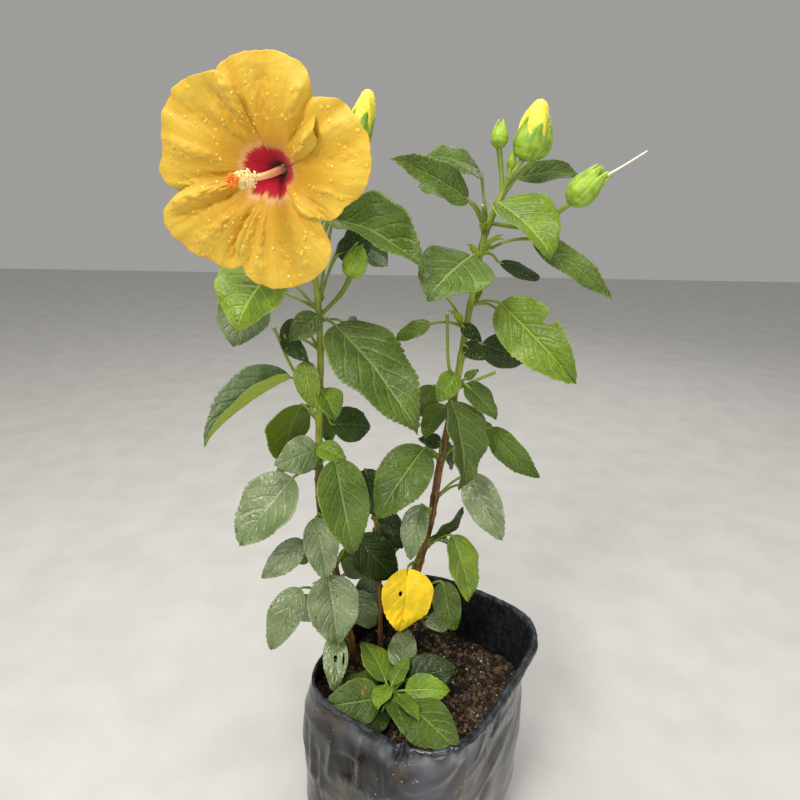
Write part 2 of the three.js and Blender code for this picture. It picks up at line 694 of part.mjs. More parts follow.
function budNode(rows) {
  const pieces = rows.map(([stem, height, bend, foot, tip, radius, petals]) => {
    const { centre, radius: stemRadius } = stemAt(stem, height);
    const away = vec(...bend).sub(centre);
    const atTip = height >= STEMS[stem].path[STEMS[stem].path.length - 1][2];
    const start = atTip
      ? along(centre, away.normalize(), 0.6)
      : along(centre, away.setZ(0).normalize(), stemRadius);
    return bud(start, vec(...bend), vec(...foot), vec(...tip), radius, petals);
  });
  return fuse(pieces);
}

function style() {
  const ends = [vec(...STYLE.from), vec(...STYLE.to)];
  return limb(ends, STYLE.radius, STYLE.radius, 5, 1);
}

// The whole plant

const group = new THREE.Group();
group.name = 'hibiscus_shrub';
const stemCutters = Object.keys(STEMS).map((name) => stemSolid(name, CLEAR));

function addMesh(name, body, color, roughness) {
  const mesh = body.getMesh();
  const geometry = new THREE.BufferGeometry();
  geometry.setAttribute('position', new THREE.BufferAttribute(mesh.vertProperties, mesh.numProp));
  geometry.setIndex(new THREE.BufferAttribute(mesh.triVerts, 1));
  const material = new THREE.MeshStandardMaterial({ color, roughness, metalness: 0 });
  const node = new THREE.Mesh(geometry, material);
  node.name = name;
  group.add(node);
}

function clearOfStems(body) {
  return largest(stemCutters.reduce((rest, cutter) => rest.subtract(cutter), body));
}

addMesh('grow_bag', growBag(), COLOURS.bag, 0.25);
addMesh('soil', pottingMix(), COLOURS.soil, 0.95);
Object.entries(STEMS).forEach(([name, { colour }]) => {
  addMesh(name, stemSolid(name), colour, 0.7);
});

// Where other joints' leaves and buds stand, for the shoots to keep away from.
const leafMarks = Object.entries(SPRAYS).flatMap(([name, [stem, height, leaves]]) => {
  const { centre } = stemAt(stem, height);
  return leaves.flatMap((row) => leafPoints(centre, row).map((point) => ({ name, point })));
});
const budMarks = Object.values(BUDS).flatMap((rows) => rows.flatMap(([, , bend, foot, tip]) => (
  [vec(...bend), vec(...foot), vec(...foot).lerp(vec(...tip), 0.5)])));
Object.entries(SPRAYS).forEach(([name, [, , leaves]]) => {
  const longest = leaves.reduce((best, row) => (row[LENGTH] > best[LENGTH] ? row : best));
  const marks = leafMarks.filter((mark) => mark.name !== name).map((mark) => mark.point);
  const others = [...marks, ...budMarks];
  addMesh(name, clearOfStems(spray(name, others)), COLOURS[longest[TONE]], 0.4);
});
addMesh('bloom', clearOfStems(bloom()), COLOURS.petal, 0.55);
Object.entries(BUDS).forEach(([name, rows]) => {
  const heads = budNode(rows);
  const whole = name === STYLE.node ? heads.add(style()) : heads;
  addMesh(name, clearOfStems(whole), COLOURS.calyx, 0.5);
});
Object.entries(BARE_STALKS).forEach(([name, [stem, height, points]]) => {
  const { centre } = stemAt(stem, height);
  const ends = points.map((p) => vec(...p));
  addMesh(name, clearOfStems(limb([centre, ...ends], 1.6, 1.4, 5, 5)), COLOURS.calyx, 0.6);
});

export default group;
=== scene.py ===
"""Hibiscus shrub in its grow bag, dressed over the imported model."""

import math

import bmesh
import bpy
import numpy as np
from mathutils import Matrix, Vector, noise


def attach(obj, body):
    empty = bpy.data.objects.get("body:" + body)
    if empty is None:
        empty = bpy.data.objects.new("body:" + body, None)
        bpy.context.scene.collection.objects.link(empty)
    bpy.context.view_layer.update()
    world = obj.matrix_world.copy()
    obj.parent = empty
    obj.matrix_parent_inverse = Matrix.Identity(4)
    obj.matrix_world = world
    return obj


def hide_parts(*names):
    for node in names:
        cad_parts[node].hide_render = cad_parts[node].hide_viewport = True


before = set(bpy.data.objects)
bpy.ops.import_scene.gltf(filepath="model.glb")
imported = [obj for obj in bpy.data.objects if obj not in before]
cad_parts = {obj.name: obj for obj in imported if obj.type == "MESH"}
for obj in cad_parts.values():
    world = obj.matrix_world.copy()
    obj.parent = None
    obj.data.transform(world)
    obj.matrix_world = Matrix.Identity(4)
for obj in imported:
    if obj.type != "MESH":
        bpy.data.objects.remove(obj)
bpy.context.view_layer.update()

# Sizes below are in millimetres and angles in degrees; meshes are made in metres.
MM = 0.001

# The camera and its picture
PICTURE_WIDTH = 800
FOCAL_PIXELS = 601
SENSOR = 36
CAMERA_AT = (-21.4, -478.3, 636.7)
LOOKS_DOWN = 19
CAMERA_ROLL = 1

# The grow bag: its plan, its sloping rim, its film, and how its wall leans near
# the rim.
BAG = {
    "across": 88, "along": 97, "turn": -35, "corner": 3.9,
    "rim_mean": 210, "rim_rise": 14, "rim_high_at": 42, "rim_lean": 6, "lean_from": 168,
    "film": 0.9,
}
# The wall's width by height, as a share of the plan, and its width at the rim.
BAG_LEVELS = [(0, 0.86), (7, 0.95), (45, 1.02), (110, 1.04), (168, 1.015)]
RIM_SHARE = 0.99
BAG_SIDES = 440
WALL_RINGS = 80
HEM_RINGS = 12
MEAN_RADIUS = 90
MM_PER_DEGREE = 1.65
# Folds of the film that show in front: turn and height of both ends, how far
# they stand out, and their half width.
FOLDS = [
    (256.5, 215, 254, 174, 3.6, 2.2), (262.8, 215, 261, 176, 3.4, 2.0), (259.6, 215, 257.6, 178, -5, 1.8),
    (278.5, 215, 284, 184, -2.8, 1.8), (282, 215, 286.5, 186, 2.6, 1.6), (286, 212, 290, 190, -2, 1.6),
    (285, 186, 262, 161, 3.4, 3.4), (262, 161, 244, 132, 2.8, 3.8), (272, 190, 259, 172, -2.4, 4.5),
    (259.9, 182, 254, 105, 1.5, 1.3), (231, 166, 233, 138, -5.5, 6.5), (222, 175, 219, 118, 3.2, 4),
    (240, 172, 238, 130, 2.6, 4), (209, 155, 210, 80, -2.2, 2.0), (214, 150, 212, 84, 2.2, 2.4),
    (205, 155, 206, 90, 1.8, 2.0), (200, 168, 202, 100, -2, 2.4), (355, 176, 292, 160, 2.2, 3.4),
    (350, 152, 300, 140, -2.6, 4.5), (345, 138, 296, 122, 2.6, 4.5), (330, 186, 312, 158, -3.2, 5.5),
    (306, 196, 298, 168, 2.6, 3), (320, 120, 292, 96, -2.6, 5.5), (270, 128, 300, 104, 2.6, 4.5),
    (248, 196, 236, 166, -2.0, 4), (292, 190, 276, 150, -2.0, 5),
]
# The other folds: how many, the tallest, the steepest slant, and the widest.
STRAY_FOLDS = {"count": 40, "tall": 90, "slant": 26, "out": 2.6, "width": 4.5}
# The turns and the height above which all folds are given.
GIVEN_FOLDS = {"from": 200, "to": 358, "above": 90}
# Where the front of the rim bends in: turn, spread, how much and over what height.
LIP = {"at": 252, "spread": 44, "in": 4.4, "tall": 6.5}
# The film's edge is turned over outwards: the roll's radius, where it is
# thickest, the length that hangs, and the share of its rings in the bend.
HEM = {"roll": 2.9, "thickest_at": -10, "hang": 8, "bent": 0.55, "crinkle": 1.2}

# The potting mix: the height of its top, the flat middle, its lumps, how far
# its edge drops, its depth, and how far it stays inside the plan.
SOIL = {
    "top": 168, "flat": 62, "middle": (-34, 14), "lump": 3.2, "edge_drop": 5,
    "deep": 30, "clear": 0.028, "cells": 190,
}
# Clods and grains of its top: size, seed and height.
CLODS = [(11, 2, 3), (4, 5, 2.2)]
GRAIN = (1.7, 7, 1.3)
# Crumbs that lie on it: count, least and greatest size, flatness.
CRUMBS = {
    "dark": (1600, 0.6, 3.6, 0.7), "brown": (1500, 0.5, 3.2, 0.75), "tan": (700, 0.4, 1.9, 0.6),
    "chip": (36, 2.2, 5.4, 0.55), "white": (190, 0.5, 1.5, 0.85),
}

# Each stem: its centre line from the cut at the soil, the radius at the foot
# and at the tip, and the height at which its bark turns from brown to green.
STEMS = {
    "left_stem": {
        "path": [(-62, 33, 168.3), (-66, 32, 184), (-82, 28, 281), (-94, 22, 352),
                 (-92, 12, 440), (-87, -2, 515), (-88, -14, 575), (-94, -20, 606)],
        "foot": 4.6, "tip": 2.2, "green_from": 420,
    },
    "right_stem": {
        "path": [(-18, 34, 168.3), (-19, 33, 189), (1, 28, 298), (10, 26, 345), (16, 22, 401),
                 (25, 17, 465), (34, 10, 547), (43, 3, 612), (53, 1, 638)],
        "foot": 4.9, "tip": 2.2, "green_from": 465,
    },
    "middle_stem": {
        "path": [(-37, 40, 168.3), (-38, 41, 190), (-39, 45, 250), (-43, 50, 320), (-48, 54, 372)],
        "foot": 3.2, "tip": 1.5, "green_from": 330,
    },
    "basal_stem": {
        "path": [(-25, -27, 168.3), (-25, -27, 176), (-25, -27, 187)],
        "foot": 2.6, "tip": 1.8, "green_from": 160,
    },
}

# Bark: the points round a stem, and the height and spread of its swollen joints
# and of the hollows above them.
BARK = {"sides": 28, "step": 1.4, "ridge": 0.05, "pore": 0.3}
JOINT_SWELLINGS = [(0, 0.16, 3.2), (7, -0.05, 4)]

PETIOLE = {"start": 1.3, "end": 1.0, "arch": 0.1, "sink": 7}
BLADE = {
    "thick": 0.55, "widest_at": 0.36, "arch": 0.06, "curl": 0.05, "sway": 0.05, "droop": 0.05,
    "edge_wave": 0.026, "pucker": 0.017, "quilt": 0.8, "midrib_sunk": 0.5,
}
# A blade folded this far up is stiffer, by this share.
STIFF_FOLD, STIFF = 60, 0.3
AXIL = {
    "stalk": 4, "length": 12, "length_spread": 9, "width": 0.55,
    "rise": 15, "rise_spread": 45, "spread": 70, "clear": 17,
}
# The three leaves of a young shoot: turn, rise, and share of its length.
SHOOT_LEAVES = ((0, 0, 1), (28, 22, 0.62), (-30, 30, 0.45))

# The teeth of a leaf: their length, how far they stand out for each millimetre
# of leaf, their outline, and the part of the margin that has them.
TOOTH = 5.4
TOOTH_DEPTH = 0.0115
TOOTH_STEPS = ((0, 0), (0.22, 0.6), (0.55, 1), (0.86, 0.9))
TOOTHED_FROM, TOOTHED_TO = 0.16, 0.96
# Places across a blade with a row of points, closer on a leaf with bites.
COLUMNS = np.array([-1, -0.94, -0.8, -0.6, -0.38, -0.17, -0.05, 0.05, 0.17, 0.38, 0.6, 0.8, 0.94, 1])
BITTEN_COLUMNS = np.linspace(-1, 1, 71)
# Side veins: how many, how far they sweep forward, and how they bend.
VEINS = 6
VEIN_SWEEP, VEIN_BEND = 0.34, 1.2

# Leaf sprays: the stem, the height of the joint, and a row for each leaf: the
# way its stalk leaves the stem, the stalk's reach and rise, the way the blade
# points, its pitch, length and width, its roll, its fold, and its tone.
SPRAYS = {
    "left_spray_01": ["left_stem", 550, [
        [194, 34, 29, 225, -50, 53, 68, 19, 17, "young"],
        [174, 58, 12, 211, -74, 46, 45, 95, 0, "grey"]]],
    "left_spray_02": ["left_stem", 556, [
        [355, 14, 61, 319, -17, 91, 55, -28, 34, "ripe"],
        [35, 18, 34, 35, 20, 36, 22, -75, 10, "dark"],
        [55, 32, 44, 50, -20, 60, 36, -60, 14, "ripe"]]],
    "left_spray_03": ["left_stem", 516, [
        [271, 10, 29, 209, -36, 30, 22, 52, 15, "ripe"],
        [155, 20, 20, 155, -40, 26, 16, 100, 8, "dark"],
        [187, 29, 11, 333, -38, 30, 16, -61, 12, "dark"]]],
    "left_spray_04": ["left_stem", 540, [
        [311, 22, 0, 322, -39, 106, 56, -23, 11, "ripe"],
        [50, 34, -10, 55, -45, 82, 52, -30, 14, "ripe"]]],
    "left_spray_05": ["left_stem", 449, [
        [213, 24, 42, 211, -30, 88, 54, 18, 64, "curled"],
        [155, 18, 11, 189, -73, 61, 54, -45, 10, "under"],
        [125, 44, -6, 125, -50, 68, 42, 30, 14, "dark"]]],
    "left_spray_06": ["left_stem", 478, [
        [229, 16, 28, 310, -70, 39, 22, -41, 14, "young"],
        [278, 12, 4, 323, -54, 28, 31, -3, 21, "bright"]]],
    "left_spray_07": ["left_stem", 458, [
        [60, 12, -4, 80, -85, 32, 22, 20, 8, "dark"],
        [44, 13, -16, 40, -14, 45, 33, -65, 9, "dark"]]],
    "left_spray_08": ["left_stem", 400, [
        [273, 11, 24, 219, -7, 41, 33, 71, 0, "grey"],
        [217, 26, -3, 211, -45, 75, 52, 34, 18, "grey"],
        [140, 38, -10, 140, -50, 84, 54, 30, 12, "ripe"]]],
    "left_spray_09": ["left_stem", 405, [
        [277, 12, 21, 338, -18, 29, 20, -36, 13, "bright"],
        [307, 29, 14, 301, -65, 83, 45, -9, 15, "ripe"]]],
    "left_spray_10": ["left_stem", 387, [
        [70, 36, -18, 75, -60, 88, 54, -20, 14, "dark"]]],
    "left_spray_11": ["left_stem", 312, [
        [214, 27, 16, 204, -38, 51, 27, 65, 18, "grey"],
        [165, 20, -16, 165, -20, 18, 12, 60, 10, "ripe"]]],
    "left_spray_12": ["left_stem", 340, [
        [256, 16, 14, 307, -75, 61, 33, -21, 17, "grey"]]],
    "left_spray_13": ["left_stem", 289, [
        [15, 22, 30, 20, -55, 72, 44, -85, 14, "dark"],
        [80, 22, -4, 40, -40, 48, 36, -60, 10, "grey"]]],
    "left_spray_14": ["left_stem", 248, [
        [196, 41, 21, 216, -59, 68, 34, 37, 14, "grey"],
        [160, 32, -4, 160, -65, 42, 34, 100, 10, "grey"]]],
    "left_spray_15": ["left_stem", 257, [
        [249, 24, 36, 294, -69, 68, 51, -7, 16, "grey"]]],
    "left_spray_16": ["left_stem", 197, [
        [245, 29, 27, 272, -46, 50, 25, -4, 14, "grey"]]],
    "left_spray_17": ["left_stem", 236, [
        [55, 16, 12, 0, -65, 50, 32, -75, 10, "grey"],
        [65, 22, 6, 40, -30, 48, 40, -60, 10, "grey"],
        [115, 38, 4, 100, -35, 56, 38, 10, 12, "ripe"]]],
    "left_spray_18": ["left_stem", 594, [
        [100, 24, 24, 105, 5, 60, 38, 10, 12, "ripe"],
        [60, 24, 26, 45, 5, 44, 30, -10, 12, "young"]]],
    "middle_spray_01": ["middle_stem", 359, [
        [245, 16, 30, 325, -70, 50, 32, -45, 15, "dark"],
        [90, 24, -8, 85, -60, 56, 36, 0, 15, "dark"]]],
    "middle_spray_02": ["middle_stem", 325, [
        [290, 14, 20, 345, -45, 34, 20, -60, 15, "dark"],
        [75, 26, -10, 75, -65, 70, 44, -10, 15, "ripe"]]],
    "middle_spray_03": ["middle_stem", 297, [
        [60, 12, 28, 355, -60, 40, 24, -70, 15, "dark"]]],
    "right_spray_01": ["right_stem", 616, [
        [162, 9, 37, 213, 10, 50, 30, 43, 7, "ripe"],
        [135, 28, 20, 130, 10, 52, 32, 30, 14, "ripe"]]],
    "right_spray_02": ["right_stem", 610, [
        [223, 23, 23, 213, 22, 70, 26, 72, 17, "ripe"]]],
    "right_spray_03": ["right_stem", 599, [
        [301, 16, 32, 316, -35, 61, 61, -11, 23, "young"]]],
    "right_spray_04": ["right_stem", 609, [
        [37, 31, 40, 20, 5, 58, 22, -47, 16, "ripe"]]],
    "right_spray_05": ["right_stem", 593, [
        [346, 40, 12, 343, -33, 75, 21, -60, 14, "ripe"],
        [48, 29, -9, 33, -19, 52, 12, -86, 13, "dark"]]],
    "right_spray_06": ["right_stem", 586, [
        [250, 22, 7, 233, -23, 62, 57, 22, 0, "ripe"]]],
    "right_spray_07": ["right_stem", 552, [
        [328, 26, 4, 330, -40, 86, 45, -65, 15, "young"],
        [45, 46, -14, 40, -35, 74, 46, -30, 14, "ripe"]]],
    "right_spray_08": ["right_stem", 533, [
        [187, 30, 3, 161, -29, 36, 15, 67, 17, "under"],
        [244, 10, 3, 328, -31, 21, 12, -59, 11, "dark"],
        [150, 26, 28, 70, 40, 36, 22, -20, 12, "ripe"]]],
    "right_spray_09": ["right_stem", 506, [
        [275, 12, 14, 330, -25, 22, 16, -65, 15, "dark"],
        [25, 20, 10, 20, -20, 50, 30, -85, 15, "dark"]]],
    "right_spray_10": ["right_stem", 466, [
        [269, 13, 29, 228, -40, 30, 21, 51, 6, "bright"],
        [153, 19, 11, 152, -64, 36, 24, 95, 18, "under"],
        [231, 11, -1, 213, -50, 34, 26, 8, 15, "ripe"]]],
    "right_spray_11": ["right_stem", 480, [
        [330, 8, 8, 350, 40, 14, 8, -80, 10, "young"],
        [304, 12, 5, 346, -44, 40, 24, -38, 13, "ripe"]]],
    "right_spray_12": ["right_stem", 460, [
        [262, 25, 14, 295, -70, 74, 55, 24, 21, "ripe"],
        [70, 36, -12, 70, -55, 86, 54, -20, 14, "ripe"]]],
    "right_spray_13": ["right_stem", 410, [
        [255, 8, 18, 210, 20, 24, 14, 75, 12, "dark"],
        [227, 24, 17, 211, -50, 74, 46, 42, 14, "ripe"],
        [120, 34, -14, 115, -55, 82, 50, 20, 14, "dark"]]],
    "right_spray_14": ["right_stem", 411, [
        [9, 44, 26, 339, -41, 63, 26, -83, 14, "ripe"],
        [65, 10, 6, 35, -70, 28, 20, -60, 8, "dark"]]],
    "right_spray_15": ["right_stem", 368, [
        [344, 32, 29, 320, -55, 66, 33, -58, 13, "grey"],
        [45, 48, -4, 55, -55, 82, 52, -30, 14, "ripe"]]],
    "right_spray_16": ["right_stem", 350, [
        [236, 20, 18, 239, -70, 52, 26, 12, 16, "grey"]]],
    "right_spray_17": ["right_stem", 312, [
        [330, 8, 12, 350, 50, 46, 20, -130, 20, "dark"],
        [339, 28, 20, 315, -67, 67, 35, -11, 20, "young"],
        [55, 42, -16, 60, -50, 74, 48, -20, 14, "ripe"]]],
    "right_spray_18": ["right_stem", 253, [
        [336, 34, 28, 312, -68, 51, 28, -43, 13, "ripe"]]],
    "right_spray_19": ["right_stem", 220, [
        [345, 46, 14, 215, 15, 30, 22, 50, 10, "grey"]]],
    "yellow_leaf": ["right_stem", 296, [
        [248, 33, 12, 247, -75, 62, 51, 38, 14, "yellow"]]],
    "right_spray_20": ["right_stem", 273, [
        [100, 22, -6, 100, -45, 66, 44, 15, 14, "dark"]]],
    "basal_rosette": ["basal_stem", 184, [
        [126, 9, 8, 124, 19, 48, 33, -15, 8, "bright"],
        [81, 4, 8, 48, 31, 30, 19, 9, 11, "bright"],
        [343, 14, 9, 357, 4, 42, 29, -50, 12, "bright"],
        [310, 9, 7, 300, 9, 40, 17, 11, 7, "bright"],
        [201, 6, 13, 256, -2, 27, 20, -13, 5, "bright"],
        [275, 11, 6, 288, -1, 40, 20, 7, 0, "ripe"],
        [216, 13, 3, 194, 2, 54, 40, 45, 10, "ripe"],
        [317, 22, 5, 309, 2, 68, 44, -12, 0, "ripe"],
        [41, 18, 6, 4, 16, 51, 39, -30, 11, "dark"],
        [67, 21, 13, 84, 17, 45, 30, 5, 18, "grey"],
        [150, 16, 0, 165, -3, 36, 30, 0, 10, "ripe"],
        [236, 14, -8, 250, -5, 32, 24, 0, 10, "dark"]]],
}

# Marks of wear, by spray and leaf: bites taken out and patches gone brown,
# each with its place (share of the length, place across) and its two radii.
WEAR = {
    ("yellow_leaf", 0): {"bites": [(0.36, 0.27, 0.042, 0.075)], "blight": [(0.81, -0.07, 0.02, 0.06)]},
    ("left_spray_16", 0): {"bites": [(0.42, 0.0, 0.06, 0.14), (0.44, -0.66, 0.12, 0.08)]},
    ("right_spray_07", 0): {"bites": [(0.42, -0.98, 0.05, 0.4)]},
    ("right_spray_18", 0): {"blight": [(0.3, 0.95, 0.06, 0.14), (0.93, 0.1, 0.04, 0.5)]},
    ("right_spray_17", 1): {"blight": [(0.97, 0, 0.03, 0.6)]},
    ("basal_rosette", 7): {"blight": [(0.97, 0, 0.06, 0.6)]},
    ("basal_rosette", 6): {"blight": [
        (0.3, 0.4, 0.025, 0.05), (0.4, 0.1, 0.02, 0.05), (0.24, 0.62, 0.02, 0.05)]},
}
# Sprays that leave a tall stem above this height are joined apart from the rest.
HIGH_FROM = 430

# The open bloom
BLOOM = {
    "throat": (-100, -62, 650), "faces": 258, "nods": -10,
    "funnel": 35, "throat_width": 16, "sunk": 6, "swirl": 4, "curled_back": 2.2, "thick": 0.5,
    "column": 62, "calyx_back": 32, "calyx_radius": 8,
}
# The rim of each petal: clock angle about the throat, and reach.
PETALS = {
    "top": [(22, 17), (26, 37), (37, 44), (52, 53), (59, 63), (75, 67), (92, 66), (112, 63), (124, 50)],
    "left": [(102, 50), (109, 60), (120, 64), (133, 70), (146, 72), (159, 71), (170, 70), (180, 74),
             (188, 66), (198, 52)],
    "lower_left": [(186, 48), (193, 68), (198, 77), (206, 80), (217, 78), (229, 73), (238, 71), (246, 63),
                   (256, 50)],
    "bottom": [(238, 50), (247, 64), (256, 69), (270, 71), (283, 70), (299, 66), (309, 59), (314, 47),
               (322, 34)],
    "right": [(-54, 32), (-42, 37), (-32, 48), (-17, 54), (-10, 61), (2, 67), (15, 69), (28, 67),
              (40, 63), (52, 54), (64, 42)],
}

PETAL_ROWS, PETAL_COLUMNS = 72, 84
# Waves of a petal: height, degrees and share of the length from one to the
# next, seed, and the power by which they grow outwards.
PETAL_WAVES = [(5.0, 24, 1.5, 0, 1.6), (3.6, 10, 1.2, 2, 3.5), (0.6, 3.4, 2.2, 5, 1.2)]
# Where a petal is folded or crumpled: clock angle, reach from and to, half width
# in degrees, and height towards the viewer.
CRUMPLES = {
    "top": [(38, 26, 60, 5, 4.5), (50, 20, 56, 4, -3.5), (30, 16, 40, 4, 3.5), (27, 30, 44, 4, 5),
            (60, 30, 64, 5, 2.2), (88, 22, 60, 6, -2), (112, 26, 62, 6, 2.4)],
    "left": [(109, 26, 62, 4.5, 4.2), (117, 26, 60, 4, -2.6), (124, 22, 52, 4, 2.4), (138, 34, 66, 7, -2.2),
             (163, 30, 66, 6, 2), (181, 18, 64, 5, -3.2), (190, 22, 62, 4, 3)],
    "lower_left": [(195, 16, 70, 5, 3.4), (204, 24, 74, 4, -3), (222, 30, 74, 5, 2.4), (236, 22, 68, 5, -3),
                   (246, 20, 60, 4, 2.6)],
    "bottom": [(248, 24, 66, 4, -3.4), (257, 22, 64, 4, 3), (276, 34, 68, 6, -1.8), (292, 28, 66, 5, 1.8),
               (306, 20, 60, 4, -2)],
    "right": [(-44, 14, 40, 5, 2.6), (-30, 24, 50, 5, -2.6), (-14, 26, 60, 5, 2), (12, 30, 64, 6, -1.6),
              (34, 24, 62, 6, 1.8), (50, 18, 50, 5, -2)],
}
# The crimson eye: how far it reaches on each petal and how strong its pale halo is.
EYE = {
    "top": (13, 0.3), "left": (16.5, 0.9), "lower_left": (16, 1), "bottom": (12.5, 0.9),
    "right": (10.5, 0.5),
}
EYE_RAGGED, EYE_SOFT, HALO_WIDTH = 2.0, 2.4, 2.0
# Anthers: how many, the part of the column that has them, and their threads.
ANTHERS = {
    "count": 104, "first": 0.68, "last": 0.98, "thread": 2.4, "thread_spread": 3.2,
    "thin": 0.2, "size": (1.05, 0.7, 0.6),
}
# The five stigmas: how far they stand out, and their velvet.
STIGMAS = {"reach": 4.3, "thread": 0.4, "size": (1.5, 1.5, 1.4), "velvet": 70, "pile": 1.45}

# Buds: the stem and height their stalk leaves from, a bend in the stalk, the
# bud's foot and tip, its greatest radius, and the share of it that is petals.
BUDS = {
    "left_green_bud": [("left_stem", 543, (-68, -13, 563), (-61, -14, 575), (-52, -16, 601), 9, 0)],
    "left_yellow_bud": [
        ("left_stem", 585, (-72, -14, 628), (-57, -20, 664), (-46, -24, 702), 9, 0.5)],
    "right_side_bud": [
        ("right_stem", 616, (80, 8, 614), (103, -6, 631), (125, -10, 658), 11, 0)],
    "top_buds": [
        ("right_stem", 640, (57, -1, 648), (66, -4, 661), (75, -8, 700), 11, 0.6),
        ("right_stem", 640, (64, 5, 650), (79, 12, 663), (85, 13, 693), 8, 0),
        ("right_stem", 640, (51, 2, 654), (48, 2, 669), (49, 2, 689), 6, 0),
        ("right_stem", 640, (56, -1, 648), (57, -1, 655), (59, -1, 667), 3, 0)],
}
STYLE = {"from": (115, -8, 645), "to": (152, -14, 668), "radius": 0.8}
# Widths of the sepals along a bud, as places and shares of its radius: where it
# opens, where it is closed, and of the green core of a closed one.
OPEN_BUD = [0, 0.1, 0.32, 0.55, 0.8, 1], [0.25, 0.75, 1.0, 0.96, 0.8, 0.78]
CLOSED_BUD = [0, 0.08, 0.25, 0.45, 0.7, 0.9, 1], [0.25, 0.7, 0.98, 1.0, 0.72, 0.36, 0.14]
BUD_CORE = [0, 0.08, 0.25, 0.45, 0.7, 0.9], [0.2, 0.62, 0.9, 0.93, 0.62, 0.2]
BLOOM_CALYX = [0, 0.12, 0.45, 0.8, 1], [0.42, 0.8, 0.98, 1.1, 1.25]
FURLED = [0, 0.3, 0.6, 0.8, 0.94, 1], [0.5, 0.84, 0.84, 0.7, 0.48, 0.3]
BRACT_RADII = np.array([0.7, 0.8, 0.85, 0.8, 0.7, 0.6, 0.45, 0.3, 0.12])
STIPULE_RADII = np.array([0.5, 0.62, 0.5, 0.36, 0.22, 0.08])
# How far the tips of a bud's sepals bend outwards, by its radius.
FLARES = {"right_side_bud": 0.55, "left_green_bud": 0.2}
CLOSED_FLARE, OPEN_FLARE = 0.08, 0.12
BARE_STALKS = {
    "left_bare_stalk": ("left_stem", 462, [(-111, 8, 493), (-123, -8, 534)]),
    "right_bare_stalk": ("right_stem", 484, [(19, 2, 500), (15, -2, 546)]),
}
# Short stubs of cut stalks, by their two ends, and the radii of those.
STUBS = [((27, 14, 478), (59, 4, 497)), ((43, 4, 606), (38, -3, 629))]
STUB_RADII = 1.5, 1.15

# Drops of water: how many are tried, the largest, how flat, the seed, the
# steepest face that holds one, and the inner share of the sheet without any.
DEW = {
    "petal": {"count": 360, "largest": 1.5, "flat": 0.27, "seed": 21, "steepest": -0.9, "inner": 0.36},
    "leaf": {"count": 900, "largest": 1.25, "flat": 0.4, "seed": 22, "steepest": 0.1, "inner": 0.05},
}


def heading(azimuth, pitch):
    """The direction at a turn from +X and a pitch from level."""
    turn, rise = math.radians(azimuth), math.radians(pitch)
    return np.array([math.cos(rise) * math.cos(turn), math.cos(rise) * math.sin(turn), math.sin(rise)])


def unit(vector):
    return vector / max(np.linalg.norm(vector), 1e-9)


def seeded(seed):
    """Numbers from 0 to 1 that are the same in every run."""
    state = float(seed)

    def draw():
        nonlocal state
        state = math.fmod(state * 1103515245.0 + 12345.0, 2147483648.0)
        return state / 2147483648.0

    return draw


def smooth_line(points, steps):
    """Points at even distances along the smooth line through the given ones."""
    given = [np.array(p, float) for p in points]
    padded = [2 * given[0] - given[1], *given, 2 * given[-1] - given[-2]]
    fine = [given[0]]
    for a, b, c, d in zip(padded, padded[1:], padded[2:], padded[3:]):
        before, across, after = (math.sqrt(np.linalg.norm(q - p)) for p, q in ((a, b), (b, c), (c, d)))
        leave = ((b - a) / before - (c - a) / (before + across) + (c - b) / across) * across
        arrive = ((c - b) / across - (d - b) / (across + after) + (d - c) / after) * across
        for w in np.linspace(0, 1, 33)[1:]:
            curved = (3 * (c - b) - 2 * leave - arrive) * w ** 2 + (2 * (b - c) + leave + arrive) * w ** 3
            fine.append(b + leave * w + curved)
    fine = np.array(fine)
    walked = np.concatenate([[0], np.cumsum(np.linalg.norm(np.diff(fine, axis=0), axis=1))])
    stops = np.linspace(0, walked[-1], steps + 1)
    return np.stack([np.interp(stops, walked, fine[:, k]) for k in range(3)], axis=1)


def rough(points, size, seed=0.0):
    """Smooth noise from about -1 to 1 at each point, by the size of its lumps."""
    return np.array([noise.noise(Vector(p) / size + Vector((seed, -seed, seed / 2))) for p in points])


def ring_noise(angle, close, level):
    """Smooth noise round an axis, by the turn, how close its lumps stand, and the level."""
    return noise.noise(Vector((math.cos(angle) * close, math.sin(angle) * close, level)))


def noise_grid(a, b, seed):
    """Smooth noise from about -1 to 1 over two grids of coordinates."""
    a, b = np.broadcast_arrays(a, b)
    values = [noise.noise(Vector((p, q, seed))) for p, q in zip(a.ravel(), b.ravel())]
    return np.array(values).reshape(a.shape)


def swelling(share, middle, spread):
    """1 in the middle of a swelling, falling off to both sides."""
    return np.exp(-((share - middle) / spread) ** 2)


# Stems

STEM_LINES = {name: smooth_line(stem["path"], 400) for name, stem in STEMS.items()}


def stem_at(name, height):
    """The stem's centre and radius at a height."""
    line = STEM_LINES[name]
    share = float(np.interp(height, line[:, 2], np.linspace(0, 1, len(line))))
    centre = np.array([np.interp(share, np.linspace(0, 1, len(line)), line[:, k]) for k in range(3)])
    foot, tip = STEMS[name]["foot"], STEMS[name]["tip"]
    return centre, foot + (tip - foot) * share


